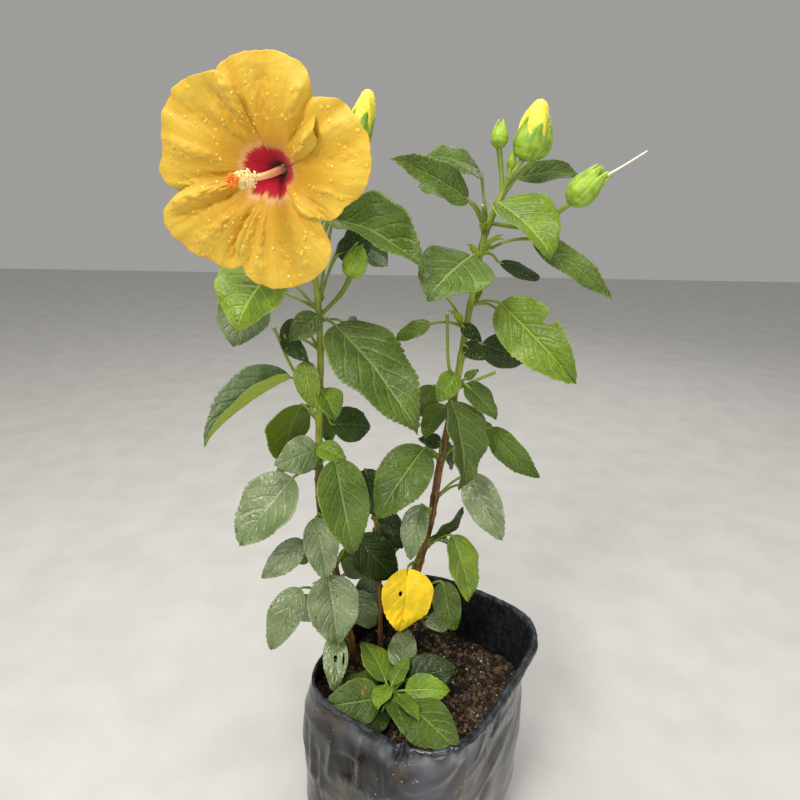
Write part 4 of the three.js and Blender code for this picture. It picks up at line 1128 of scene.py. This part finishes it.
def dew(name, sheets, finish):
    """Water drops on the upper faces of leaves or petals, from an inner share of their length outwards."""
    sizes = DEW[name]
    inner = sizes["inner"]
    draw = seeded(sizes["seed"])
    drops = Gathered()
    for _ in range(sizes["count"]):
        sheet = sheets[int(draw() * len(sheets))]
        rows, columns = sheet["grid"].shape[:2]
        i, j = int(rows * inner + draw() * (rows * (1 - inner) - 2)), int(1 + draw() * (columns - 2))
        normal = sheet["normals"][i, j]
        size = sizes["largest"] * (0.35 + 0.65 * draw() ** 1.6)
        if normal[2] >= sizes["steepest"]:
            side = unit(np.cross(normal, (0.3, 0.5, 0.7)))
            axes = np.stack([side, np.cross(normal, side), normal])
            centre = sheet["grid"][i, j] + normal * size * 0.06
            drops.add(*pellet(centre, (size, size * 0.9, size * sizes["flat"]), axes, 2))
    drops.build(f"{name}_dew", name, [finish])


# The grow bag and its mix

def stray_folds():
    """Folds all round the bag: long near the foot, and above it only where none is given."""
    draw = seeded(515)
    rows = []
    while len(rows) < STRAY_FOLDS["count"]:
        turn, height = 360 * draw(), 12 + 190 * draw()
        tall = STRAY_FOLDS["tall"] * (0.3 + 0.7 * draw())
        slant = STRAY_FOLDS["slant"] * (2 * draw() - 1)
        out = STRAY_FOLDS["out"] * (2 * draw() - 1)
        width = STRAY_FOLDS["width"] * (0.35 + 0.65 * draw())
        in_front = GIVEN_FOLDS["from"] < turn < GIVEN_FOLDS["to"]
        if not in_front or height + tall <= GIVEN_FOLDS["above"]:
            rows.append((turn, height + tall, turn + slant, height, out, width))
    return rows


ALL_FOLDS = np.array(FOLDS + stray_folds(), float)


def plan_radius(angle):
    local = angle - math.radians(BAG["turn"])
    a = abs(math.cos(local)) / BAG["across"]
    b = abs(math.sin(local)) / BAG["along"]
    return (a ** BAG["corner"] + b ** BAG["corner"]) ** (-1 / BAG["corner"])


def rim_height(angle):
    rise = BAG["rim_rise"] * math.cos(angle - math.radians(BAG["rim_high_at"]))
    return BAG["rim_mean"] + rise + 1.4 * ring_noise(angle, 3, 4)


def creases(angle, height):
    """How far the film stands out of its smooth shape."""
    place = Vector((math.cos(angle) * 95, math.sin(angle) * 95, height))
    belly = noise.noise(place / 58) * 2.6
    leaning = Vector((place.x + 0.35 * place.z, place.y, place.z * 0.42))
    tall = (1 - abs(noise.noise(leaning / 44))) ** 7 * 0.9
    small = noise.noise(place / 16) * 0.35
    turn_a, height_a, turn_b, height_b, out, width = ALL_FOLDS.T
    x = (np.degrees(angle) - turn_a + 180) % 360 - 180
    run = ((turn_b - turn_a + 180) % 360 - 180) * MM_PER_DEGREE
    x = x * MM_PER_DEGREE
    rise = height_b - height_a
    share = (x * run + (height - height_a) * rise) / (run ** 2 + rise ** 2)
    held = np.clip(share, 0, 1)
    away = np.hypot(x - held * run, height - height_a - held * rise)
    fade = np.clip(np.minimum(held, 1 - held) * 5, 0, 1)
    folds = float(np.sum(out * fade * np.exp(-np.sqrt(away ** 2 + 0.3) / width)))
    low = min(1, height / 12)
    return (belly + tall + small + folds - 0.4) * low


def film_point(angle, ring):
    """A point of the bag's film, by its turn and its ring up from the foot."""
    top = rim_height(angle)
    share = min(ring, WALL_RINGS) / WALL_RINGS
    height = (1 - (1 - share) ** 1.25) * top
    levels = [z for z, _ in BAG_LEVELS] + [top]
    widths = [w for _, w in BAG_LEVELS] + [RIM_SHARE]
    width = float(np.interp(height, levels, widths))
    radius = plan_radius(angle) * width + creases(angle, height)
    lean = BAG["rim_lean"] * max(0.0, (height - BAG["lean_from"]) / (top - BAG["lean_from"]))
    aside = math.degrees(math.remainder(angle - math.radians(LIP["at"]), 2 * math.pi)) / LIP["spread"]
    lip = math.exp(-aside ** 4)
    radius -= LIP["in"] * lip * max(0.0, (height - top + LIP["tall"]) / LIP["tall"]) ** 2
    if ring > WALL_RINGS:
        over = (ring - WALL_RINGS) / HEM_RINGS
        thickness = 0.6 + 0.4 * math.cos(angle - math.radians(HEM["thickest_at"]))
        roll = HEM["roll"] * thickness
        turned = math.pi * min(1, over / HEM["bent"])
        hung = max(0.0, (over - HEM["bent"]) / (1 - HEM["bent"]))
        radius += roll * (1 - math.cos(turned)) - roll * 0.9 * hung ** 2
        radius += HEM["crinkle"] * thickness * ring_noise(angle, 22, over * 2.5)
        height += roll * 1.2 * math.sin(turned) - HEM["hang"] * hung * (1 - lip * 0.9)
    return Vector((lean + radius * math.cos(angle), radius * math.sin(angle), height)) * MM


def drawn_out(name, steps, way):
    """Names the newest piece, draws its rim out in steps and leaves the last one selected."""
    piece = bpy.context.object
    piece.name = piece.data.name = name
    bpy.ops.object.mode_set(mode="EDIT")
    bpy.ops.mesh.select_mode(type="EDGE")
    bpy.ops.mesh.select_all(action="DESELECT")
    bpy.ops.mesh.select_non_manifold()
    for _ in range(steps):
        bpy.ops.mesh.extrude_region_move(TRANSFORM_OT_translate={"value": (0, 0, way)})
    return piece


def grow_bag(outer, inner, hem):
    """The bag: a disc with its wall drawn up ring by ring, then given its film."""
    bpy.ops.object.select_all(action="DESELECT")
    bpy.ops.mesh.primitive_circle_add(vertices=BAG_SIDES, radius=1, fill_type="TRIFAN")
    bag = drawn_out("bag_film", WALL_RINGS + HEM_RINGS, 1)
    bpy.ops.object.mode_set(mode="OBJECT")
    foot = film_point(0, 0)
    for vertex in bag.data.vertices:
        x, y, ring = vertex.co
        if math.hypot(x, y) < 0.5:
            vertex.co = Vector((0, 0, foot.z))
        else:
            vertex.co = film_point(math.atan2(y, x), round(ring))
    hem_faces = BAG_SIDES * HEM_RINGS
    wall = bag.data.polygons[-1 - hem_faces]
    if wall.normal.dot(Vector((wall.center.x, wall.center.y, 0))) < 0:
        bag.data.flip_normals()
    bag.data.update()
    for finish in (outer, inner, hem, hem):
        bag.data.materials.append(finish)
    for part in list(bag.data.polygons)[-hem_faces:]:
        part.material_index = 2
    film = bag.modifiers.new("film", "SOLIDIFY")
    film.thickness = BAG["film"] * MM
    film.offset = -1
    film.material_offset = 1
    bpy.ops.object.modifier_apply(modifier="film")
    bpy.ops.object.shade_smooth()
    return seat(bag, ["grow_bag"])


def soil_top(x, y):
    """The height of the mix at a place."""
    away = math.hypot(x - SOIL["middle"][0], y - SOIL["middle"][1])
    loose = min(1, max(0, (away - SOIL["flat"]) / 30))
    lumps = math.sin(x * 0.13 + y * 0.05) * math.cos(y * 0.11 - x * 0.04)
    height = SOIL["top"] + loose * (SOIL["lump"] * lumps - SOIL["edge_drop"])
    clods = sum(noise.noise(Vector((x / size, y / size, seed))) * high for size, seed, high in CLODS)
    size, seed, high = GRAIN
    grains = abs(noise.noise(Vector((x / size, y / size, seed)))) * high
    return height + clods + grains - 0.6


def soil_place(angle, reach):
    """A place on the mix, by its turn and its share of the way to the film."""
    radius = plan_radius(angle) * (BAG_LEVELS[-1][1] - SOIL["clear"]) * reach
    return radius * math.cos(angle), radius * math.sin(angle)


def potting_mix(bed_skin, crumb_finishes):
    """The bed of potting mix, and the crumbs, bark and white grains that lie on it."""
    bpy.ops.object.select_all(action="DESELECT")
    bpy.ops.mesh.primitive_grid_add(x_subdivisions=SOIL["cells"], y_subdivisions=SOIL["cells"], size=2)
    bed = drawn_out("potting_mix_bed", 1, -1)
    bpy.ops.mesh.edge_face_add()
    bpy.ops.object.mode_set(mode="OBJECT")
    for vertex in bed.data.vertices:
        x, y, level = vertex.co
        x, y = soil_place(math.atan2(y, x), max(abs(x), abs(y)))
        height = soil_top(x, y) if level > -0.5 else SOIL["top"] - SOIL["deep"]
        vertex.co = Vector((x, y, height)) * MM
    bpy.ops.object.shade_smooth()
    bed.data.materials.append(bed_skin)
    seat(bed, ["soil"])
    draw = seeded(99)
    crumbs = Gathered()
    for kind, (count, least, most, flat) in enumerate(CRUMBS.values()):
        for _ in range(count):
            angle = 2 * math.pi * draw()
            x, y = soil_place(angle, math.sqrt(draw()) * 0.965)
            size = least + (most - least) * draw() ** 2
            turn, tip = draw() * 6.28, draw() * 0.8
            axes = Matrix.Rotation(turn, 3, "Z") @ Matrix.Rotation(tip, 3, "X")
            sizes = (size * (0.8 + 0.6 * draw()), size * (0.7 + 0.4 * draw()), size * flat)
            middle = np.array([x, y, soil_top(x, y)])
            points, faces = pellet(middle + (0, 0, size * flat * 0.25), sizes, np.array(axes).T,
                                   2 if size > 2.2 else 1)
            jitter = rough(points, size * 1.1, kind * 7.0)[:, None]
            crumbs.add(middle + (points - middle) * (1 + 0.4 * jitter), faces, kind)
    crumbs.build("potting_mix_crumbs", "potting_mix", crumb_finishes, ["soil"])


# Finishes

class Pattern:
    """A value that varies over a surface and is reckoned with like a number."""

    def __init__(self, finish, socket):
        self.finish = finish
        self.socket = socket

    def __add__(self, other):
        return self.finish.math("ADD", self, other)

    def __sub__(self, other):
        return self.finish.math("SUBTRACT", self, other)

    def __rsub__(self, other):
        return self.finish.math("SUBTRACT", other, self)

    def __mul__(self, other):
        return self.finish.math("MULTIPLY", self, other)

    def __pow__(self, other):
        return self.finish.math("POWER", self, other)

    def __abs__(self):
        return self.finish.math("ABSOLUTE", self)


class Finish:
    """A surface with its patterns, by place on the plant or on the leaf."""

    def __init__(self, name, roughness=0.5, **sockets):
        self.material = bpy.data.materials.new(name)
        self.material.use_nodes = True
        self.nodes = self.material.node_tree.nodes
        self.links = self.material.node_tree.links
        self.surface = self.nodes["Principled BSDF"]
        self.surface.inputs["Roughness"].default_value = roughness
        for socket, value in sockets.items():
            self.surface.inputs[socket.replace("_", " ")].default_value = value
        self.place = self.add("TexCoord", output="Object")

    def node(self, kind, settings=None, **inputs):
        node = self.nodes.new("ShaderNode" + kind)
        for name, value in (settings or {}).items():
            setattr(node, name, value)
        for name, value in inputs.items():
            key = int(name[1:]) if name[0] == "_" else name.replace("_", " ")
            if isinstance(value, Pattern):
                self.links.new(value.socket, node.inputs[key])
            else:
                node.inputs[key].default_value = value
        return node

    def add(self, kind, settings=None, output=0, **inputs):
        return Pattern(self, self.node(kind, settings, **inputs).outputs[output])

    def math(self, operation, a, b=0.0):
        return self.add("Math", {"operation": operation}, _0=a, _1=b)

    def greater(self, a, b):
        return self.math("MAXIMUM", a, b)

    def split(self, place):
        """The three parts of a place."""
        return [Pattern(self, part) for part in self.node("SeparateXYZ", Vector=place).outputs]

    def stretched(self, scale, place=None):
        return self.add("Mapping", Vector=place or self.place, Scale=scale)

    def on_leaf(self):
        return self.add("UVMap", {"uv_map": "LeafUV"})

    def noise(self, scale, detail=3.0, place=None, distortion=0.0):
        return self.add("TexNoise", Vector=place or self.place, Scale=scale, Detail=detail,
                        Distortion=distortion)

    def cells(self, scale, feature="DISTANCE_TO_EDGE", place=None):
        place = place or self.place
        return self.add("TexVoronoi", {"feature": feature}, "Distance", Vector=place, Scale=scale)

    def specks(self, scale, size):
        """Round spots, 1 inside and 0 outside."""
        return self.span(self.cells(scale, "F1"), 0, size, 1, 0)

    def span(self, value, low, high, start=0.0, end=1.0):
        """The value brought smoothly from low and high to start and end."""
        settings = {"interpolation_type": "SMOOTHSTEP"}
        return self.add("MapRange", settings, _0=value, _1=low, _2=high, _3=start, _4=end)

    def mix(self, amount, a, b, blend="MIX"):
        return self.add("Mix", {"data_type": "RGBA", "blend_type": blend}, 2, _0=amount, _6=a, _7=b)

    def coats(self, colour, *layers):
        """A colour with others laid over it, each by its pattern."""
        for amount, laid in layers:
            colour = self.mix(amount, colour, laid)
        return colour

    def mark(self, name):
        return self.add("Attribute", {"attribute_name": name}, "Fac")

    def paint(self, colour, roughness, height, depth, strength):
        relief = self.add("Bump", Strength=strength, Distance=depth, Height=height)
        for name, pattern in (("Base Color", colour), ("Roughness", roughness), ("Normal", relief)):
            if pattern is not None:
                self.links.new(pattern.socket, self.surface.inputs[name])
        return self.material


def rgb(red, green, blue):
    """A colour from its 0 to 255 values as they look on a screen."""
    linear = []
    for value in (red, green, blue):
        share = value / 255
        linear.append(share / 12.92 if share <= 0.04045 else ((share + 0.055) / 1.055) ** 2.4)
    return (*linear, 1)


# Leaf tones: upper face, veins, under face, how much the upper face shines, its
# relief, and how much pale painted sheen of reflected sky lies on it.
TONES = {
    "young": (rgb(104, 128, 8), rgb(176, 198, 92), rgb(142, 162, 44), 0.27, 0.5, 0.07),
    "bright": (rgb(108, 138, 12), rgb(176, 200, 96), rgb(142, 168, 48), 0.28, 0.5, 0.07),
    "ripe": (rgb(72, 96, 6), rgb(152, 174, 86), rgb(110, 134, 38), 0.27, 0.62, 0.08),
    "grey": (rgb(78, 100, 42), rgb(156, 174, 116), rgb(104, 128, 56), 0.75, 0.6, 0.42),
    "dark": (rgb(38, 60, 5), rgb(92, 118, 48), rgb(78, 102, 30), 0.3, 0.7, 0.04),
    "under": (rgb(94, 116, 18), rgb(160, 182, 88), rgb(98, 120, 22), 0.28, 0.4, 0.08),
    "curled": (rgb(64, 88, 38), rgb(120, 144, 90), rgb(166, 184, 58), 0.5, 0.5, 0.28),
    "yellow": (rgb(255, 208, 28), rgb(255, 218, 60), rgb(246, 200, 44), 0.3, 0.2, 0),
}
# A pale grey-green laid over the leaves in patches: a painted sheen of reflected sky.
PAINTED_SHEEN = rgb(184, 198, 152)
SICK = rgb(150, 116, 42)
SHADED = (0.5, 0.58, 0.36, 1)
# Fibres are drawn out along the stems.
ALONG = (1, 1, 0.12)


def leaf_finish(tone):
    upper, vein_colour, under_colour, shine, relief, sheen_share = TONES[tone]
    leaf = Finish(f"leaf_{tone}", 0.3, Specular_IOR_Level=shine)
    across, along, _ = leaf.split(leaf.on_leaf())
    x = abs(across - 0.5) * 2
    phase = (along - x ** VEIN_BEND * VEIN_SWEEP + leaf.noise(60, 2) * 0.1) * VEINS
    away = leaf.math("PINGPONG", phase, 0.5)
    fading = leaf.span(x, 0.5, 1, 1, 0.1)
    side_vein = leaf.span(away, 0, 0.05, 1, 0) * fading
    groove = leaf.span(away, 0, 0.2, 1, 0) * fading
    midrib = leaf.span(x, 0.015, 0.055, 1, 0)
    margin = leaf.span(x, 0.93, 0.99, 0, 0.6)
    cell, small_cell = leaf.cells(230), leaf.cells(620)
    net = leaf.greater(leaf.span(cell, 0, 0.1, 0.26, 0), leaf.span(small_cell, 0, 0.09, 0.1, 0))
    veins = leaf.greater(leaf.greater(leaf.greater(side_vein, midrib) * 0.85, net), margin)
    under = leaf.mark("under")
    mottle = leaf.span(leaf.noise(36, 4), 0.34, 0.66)
    top = leaf.mix(mottle, leaf.mix(1, upper, SHADED, "MULTIPLY"), upper)
    light = (leaf.mark("shade") - 0.5) * 0.4 + 1
    top = leaf.mix(1, top, leaf.add("CombineColor", _0=light, _1=light, _2=light), "MULTIPLY")
    # Painted sheen: pale patches of reflected sky laid into the leaf colour.
    sheen_patches = leaf.span(leaf.noise(40, 3), 0.3, 0.66, 0.35, 1) * leaf.span(cell, 0, 0.3, 0.72, 1)
    top = leaf.coats(top, (sheen_patches * sheen_share, PAINTED_SHEEN), (veins * 0.6, vein_colour))
    below = leaf.mix(veins * 0.5, under_colour, vein_colour)
    sick = leaf.span(leaf.mark("sick") + leaf.noise(260, 3) * 0.3, 0.45, 0.75)
    colour = leaf.coats(top, (under, below), (sick, SICK))
    pillow = leaf.span(cell, 0, 0.42, 0, 0.55) + leaf.span(small_cell, 0, 0.42, 0, 0.16)
    raised = pillow - leaf.greater(groove, leaf.span(x, 0.02, 0.12, 1, 0)) * 1.3
    height = raised * (1 - under * 2) + leaf.noise(90, 2) * 3
    gloss = leaf.span(leaf.noise(120, 3), 0.3, 0.7, 0.23, 0.4) + under * 0.24
    return leaf.paint(colour, gloss, height, 0.0007, relief)


def petal_finish():
    petal = Finish("golden_petal", 0.5, Sheen_Weight=0.12, Sheen_Roughness=0.5, Specular_IOR_Level=0.3)
    uv = petal.on_leaf()
    ray = petal.span(petal.noise(1, 3, petal.stretched((36, 1.4, 1), uv), 0.5), 0.34, 0.66)
    fine = petal.span(petal.noise(1, 2, petal.stretched((130, 3, 1), uv), 0.3), 0.35, 0.65)
    cloud = petal.span(petal.noise(34, 4), 0.36, 0.68)
    inner_gold = rgb(200, 146, 22)
    gold = petal.mix(petal.span(petal.mark("rim"), 0.2, 0.95), inner_gold, rgb(217, 182, 62))
    # The fold mark paints shade: a darker orange in the petal's folds.
    gold = petal.coats(
        gold, (cloud * 0.2, rgb(208, 165, 44)), (ray * 0.16, rgb(196, 148, 30)), (fine * 0.07, inner_gold),
        (petal.mark("fold_shade") * 0.34, rgb(206, 150, 20)), (petal.mark("halo") * 0.55, rgb(240, 190, 150)))
    # Near-black crimson deep in the throat: painted shade in the funnel.
    deep = petal.span(petal.mark("deep"), 0.46, 0.78)
    eye = petal.coats(rgb(192, 8, 48), (ray * 0.4, rgb(144, 2, 34)), (deep, rgb(70, 0, 14)))
    colour = petal.mix(petal.mark("eye"), gold, eye)
    height = ray * -0.4 + fine * -0.3 + petal.noise(240, 3) * 0.4
    return petal.paint(colour, petal.span(petal.noise(80, 2), 0.3, 0.7, 0.42, 0.56), height, 0.0005, 0.45)


def column_finish():
    flesh = Finish("column_flesh", 0.45, Specular_IOR_Level=0.3)
    pink = flesh.mix(flesh.span(flesh.noise(200, 3), 0.35, 0.65), rgb(236, 156, 112), rgb(250, 190, 140))
    colour = flesh.mix(flesh.mark("along"), pink, rgb(252, 232, 172))
    return flesh.paint(colour, None, flesh.noise(400, 3), 0.0002, 0.4)


def sepal_finish():
    sepal = Finish("ribbed_sepal", 0.42, Specular_IOR_Level=0.35)
    green = sepal.coats(
        rgb(112, 148, 30), (sepal.span(sepal.noise(150, 4), 0.32, 0.68), rgb(156, 186, 56)),
        (sepal.mark("rib") * 0.2, rgb(196, 214, 116)), (sepal.mark("edge") * 0.7, rgb(208, 222, 130)))
    return sepal.paint(green, None, sepal.noise(380, 3), 0.0004, 0.5)


def plain_finish(name, colour, shade, roughness=0.5, scale=200, depth=0.0003, strength=0.5):
    """A finish of two close colours in fine mottling, with a little relief."""
    made = Finish(name, roughness)
    mixed = made.mix(made.span(made.noise(scale, 4), 0.3, 0.7), shade, colour)
    return made.paint(mixed, None, made.noise(scale * 2.2, 3), depth, strength)


def stalk_finish():
    stalk = Finish("leaf_stalk", 0.42, Specular_IOR_Level=0.35)
    fibre = stalk.span(stalk.noise(900, 3, stalk.stretched(ALONG)), 0.35, 0.65)
    colour = stalk.coats(
        rgb(112, 140, 44), (stalk.span(stalk.noise(30, 2), 0.35, 0.65), rgb(150, 170, 70)),
        (fibre * 0.35, rgb(86, 104, 30)))
    return stalk.paint(colour, None, fibre, 0.0002, 0.5)


def bark_finish(name, green_from):
    bark = Finish(name, 0.5, Specular_IOR_Level=0.3)
    drift = (bark.noise(22, 3) - 0.5) * 0.12
    height = bark.split(bark.place)[2] + drift
    green = bark.span(height, (green_from - 50) * MM, (green_from + 50) * MM)
    fibre = bark.span(bark.noise(420, 4, bark.stretched(ALONG)), 0.32, 0.68)
    pores = bark.specks(420, 0.24)
    lichen = bark.span(bark.noise(60, 3), 0.5, 0.75)
    brown = bark.coats(rgb(74, 46, 20), (fibre, rgb(146, 104, 62)), (lichen, rgb(104, 100, 52)))
    mottle = bark.span(bark.noise(46, 3), 0.34, 0.66)
    fresh = bark.coats(rgb(108, 116, 22), (mottle, rgb(148, 162, 46)), (fibre * 0.4, rgb(160, 170, 92)))
    colour = bark.coats(brown, (green, fresh), (pores * (1 - green) * 0.6, rgb(196, 170, 128)))
    return bark.paint(colour, None, fibre + pores * 0.8, 0.0005, 0.6)


def film_finish():
    film = Finish("black_film", 0.2, Coat_Weight=0.2, Coat_Roughness=0.08, Specular_IOR_Level=0.32)
    slack = film.stretched((1, 1, 0.6))
    x, y, z = film.split(film.place)
    # Grey-blue and brown patches: partly dust, partly painted reflections of the surroundings, less grey and
    # more brown on the right side.
    grey_dust_and_reflection = film.span(film.noise(10, 3, slack, 0.8), 0.4, 0.58) * film.span(x, 0, 0.06, 0.55, 0.25)
    brown_dust_and_reflection = film.span(film.noise(19, 3, slack, 1.4), film.span(x, -0.06, 0.06, 0.58, 0.4), 0.64)
    # A pale band just below the front of the rim: a painted glare of reflected light.
    turn = math.radians(BAG["rim_high_at"])
    slope = BAG["rim_rise"] / MEAN_RADIUS
    below = x * (math.cos(turn) * slope) + y * (math.sin(turn) * slope) + BAG["rim_mean"] * MM - z
    band = film.span(below, 0.004, 0.02, 1, 0) * film.span(y, -0.09, -0.06, 1, 0)
    band = band * film.span(film.noise(30, 3), 0.36, 0.6)
    dust = film.specks(210, 0.15) * film.span(film.noise(55, 1), 0.56, 0.6)
    colour = film.coats(
        rgb(10, 11, 13), (grey_dust_and_reflection, rgb(96, 100, 108)), (brown_dust_and_reflection * 0.6, rgb(72, 61, 46)),
        (band * 0.6, rgb(156, 160, 170)), (dust, rgb(230, 228, 220)))
    gloss = film.span(film.noise(20, 4), 0.3, 0.75, 0.12, 0.36)
    wide = film.span(film.cells(24, place=slack), 0, 0.09, 1.6, 0)
    narrow = film.span(film.cells(58, place=slack), 0, 0.14, 0.6, 0)
    crumple = (wide + narrow) * film.span(film.noise(13, 2), 0.46, 0.62, 0, 0.7)
    return film.paint(colour, gloss, crumple + film.noise(150, 3) * 0.35, 0.0012, 0.6)


def hem_finish():
    hem = Finish("rolled_hem", 0.45)
    dust = hem.span(hem.noise(120, 4), 0.4, 0.7)
    specks = hem.span(hem.cells(420, "F1"), 0, 0.16, 0.8, 0) * hem.span(hem.noise(90, 1), 0.48, 0.54)
    colour = hem.coats(rgb(17, 19, 24), (dust * 0.6, rgb(74, 82, 94)), (specks, rgb(214, 214, 210)))
    dull = hem.span(hem.split(hem.place)[1], -0.086, -0.07, 0.1, 0.4)
    dull = dull + hem.span(hem.noise(70, 3), 0.3, 0.7, 0, 0.12)
    return hem.paint(colour, dull, hem.noise(260, 4), 0.0008, 0.6)


def inner_film_finish():
    film = Finish("inner_film", 0.5)
    colour = film.mix(film.span(film.noise(210, 5), 0.42, 0.72) * 0.5, rgb(20, 22, 27), rgb(62, 62, 60))
    gloss = film.span(film.noise(60, 3), 0.3, 0.7, 0.38, 0.62)
    return film.paint(colour, gloss, film.noise(420, 4), 0.0006, 0.6)


def soil_finish():
    soil = Finish("moist_mix", 0.85)
    colour = soil.coats(
        rgb(24, 18, 12), (soil.span(soil.noise(420, 5), 0.36, 0.64), rgb(84, 66, 46)),
        (soil.span(soil.noise(700, 3), 0.62, 0.72) * 0.75, rgb(160, 134, 98)))
    return soil.paint(colour, None, soil.noise(600, 5), 0.0012, 0.9)


def dew_finish(name, colour, paler):
    drop = Finish(name, 0.05, IOR=1.33, Coat_Weight=0.6, Coat_Roughness=0.03)
    clear = drop.mix(drop.span(drop.noise(300, 1), 0.3, 0.7), colour, paler)
    return drop.paint(clear, None, drop.noise(300, 1), 0.00005, 0.1)


# The plant

def plant():
    """Every piece of the plant and its bag."""
    stalk_skin, sepal_skin = stalk_finish(), sepal_finish()
    grow_bag(film_finish(), inner_film_finish(), hem_finish())
    potting_mix(soil_finish(), [
        plain_finish("dark_crumb", rgb(46, 35, 24), rgb(18, 13, 8), 0.85, 300, 0.0008, 0.8),
        plain_finish("brown_crumb", rgb(128, 100, 70), rgb(62, 47, 32), 0.85, 300, 0.0008, 0.8),
        plain_finish("tan_fibre", rgb(186, 158, 118), rgb(128, 104, 72), 0.85, 400, 0.0005, 0.7),
        plain_finish("bark_chip", rgb(136, 100, 66), rgb(90, 62, 40), 0.8, 220, 0.0006, 0.7),
        plain_finish("white_grain", rgb(238, 234, 224), rgb(200, 194, 180), 0.85, 500),
    ])
    for name, stem in STEMS.items():
        stem_mesh(name, bark_finish(f"bark_of_{name}", stem["green_from"]))
    tones = list(TONES)
    leaf_sheets = leafage([leaf_finish(tone) for tone in tones], tones, stalk_skin)
    petal_sheets = bloom({
        "petal": petal_finish(),
        "column": column_finish(),
        "anthers": plain_finish("anther_pollen", rgb(250, 238, 176), rgb(224, 206, 132), 0.8, 900),
        "stigmas": plain_finish("stigma_velvet", rgb(246, 150, 44), rgb(226, 108, 24), 0.8, 900),
    }, sepal_skin, stalk_skin)
    yellow = plain_finish("furled_petal", rgb(250, 236, 84), rgb(238, 216, 56), 0.45, 160, 0.0005, 0.6)
    pale = plain_finish("pale_style", rgb(244, 240, 214), rgb(226, 216, 180), 0.5, 300)
    buds(sepal_skin, yellow, stalk_skin, pale)
    bare_stalks(stalk_skin, plain_finish("cut_end", rgb(232, 222, 196), rgb(196, 178, 140), 0.8, 700))
    dew("petal", petal_sheets, dew_finish("drops_on_gold", rgb(222, 178, 54), rgb(232, 194, 74)))
    dew("leaf", leaf_sheets, dew_finish("drops_on_green", rgb(70, 94, 26), rgb(92, 116, 46)))


# The room: a plain floor, soft light, and the camera where the photograph's stood.

def aimed(position, look_at):
    """A matrix at a place whose -Z looks at another."""
    way = Vector(look_at) - Vector(position)
    return Matrix.Translation(position) @ way.to_track_quat("-Z", "Y").to_matrix().to_4x4()


# Lights: name, place, size, power and colour. All are aimed at one place.
LIT_PLACE = (0, 0, 0.42)
LIGHTS = [
    ("overhead", (-0.2, -0.3, 2.1), 1.2, 24, (1, 0.98, 0.94)),
    ("key", (-0.8, -1.3, 1.7), 0.6, 22, (1, 0.97, 0.9)),
    ("front", (0.4, -1.8, 0.8), 0.7, 8, (1, 1, 1)),
    ("fill", (1.4, -0.6, 0.9), 0.8, 2, (1, 1, 1)),
    ("back", (0.6, 1.5, 1.6), 1.6, 6, (1, 1, 1)),
]


def soft_light(name, position, size, power, colour):
    lamp = bpy.data.lights.new(name, "AREA")
    lamp.shape = "DISK"
    lamp.size = size
    lamp.energy = power
    lamp.color = colour
    holder = bpy.data.objects.new(name, lamp)
    holder.matrix_world = aimed(position, LIT_PLACE)
    bpy.context.scene.collection.objects.link(holder)


def room():
    bpy.ops.object.select_all(action="DESELECT")
    bpy.ops.mesh.primitive_plane_add(size=9)
    floor = bpy.context.object
    floor.name = "floor"
    floor.data.materials.append(plain_finish("pale_floor", rgb(214, 212, 208), rgb(206, 204, 200), 0.85, 12))
    world = bpy.data.worlds.new("soft_sky")
    bpy.context.scene.world = world
    world.use_nodes = True
    sky = world.node_tree.nodes["Background"]
    sky.inputs["Color"].default_value = (0.95, 0.94, 0.91, 1)
    sky.inputs["Strength"].default_value = 0.36
    for light in LIGHTS:
        soft_light(*light)


def camera():
    made = bpy.data.cameras.new("camera")
    made.sensor_width = SENSOR
    made.lens = SENSOR * FOCAL_PIXELS / PICTURE_WIDTH
    made.clip_start, made.clip_end = 0.01, 50
    holder = bpy.data.objects.new("camera", made)
    pitch = Matrix.Rotation(math.radians(90 - LOOKS_DOWN), 4, "X")
    roll = Matrix.Rotation(math.radians(CAMERA_ROLL), 4, "Z")
    holder.matrix_world = Matrix.Translation(Vector(CAMERA_AT) * MM) @ pitch @ roll
    bpy.context.scene.collection.objects.link(holder)
    bpy.context.scene.camera = holder


plant()
room()
camera()
bpy.context.scene.view_settings.view_transform = "Standard"
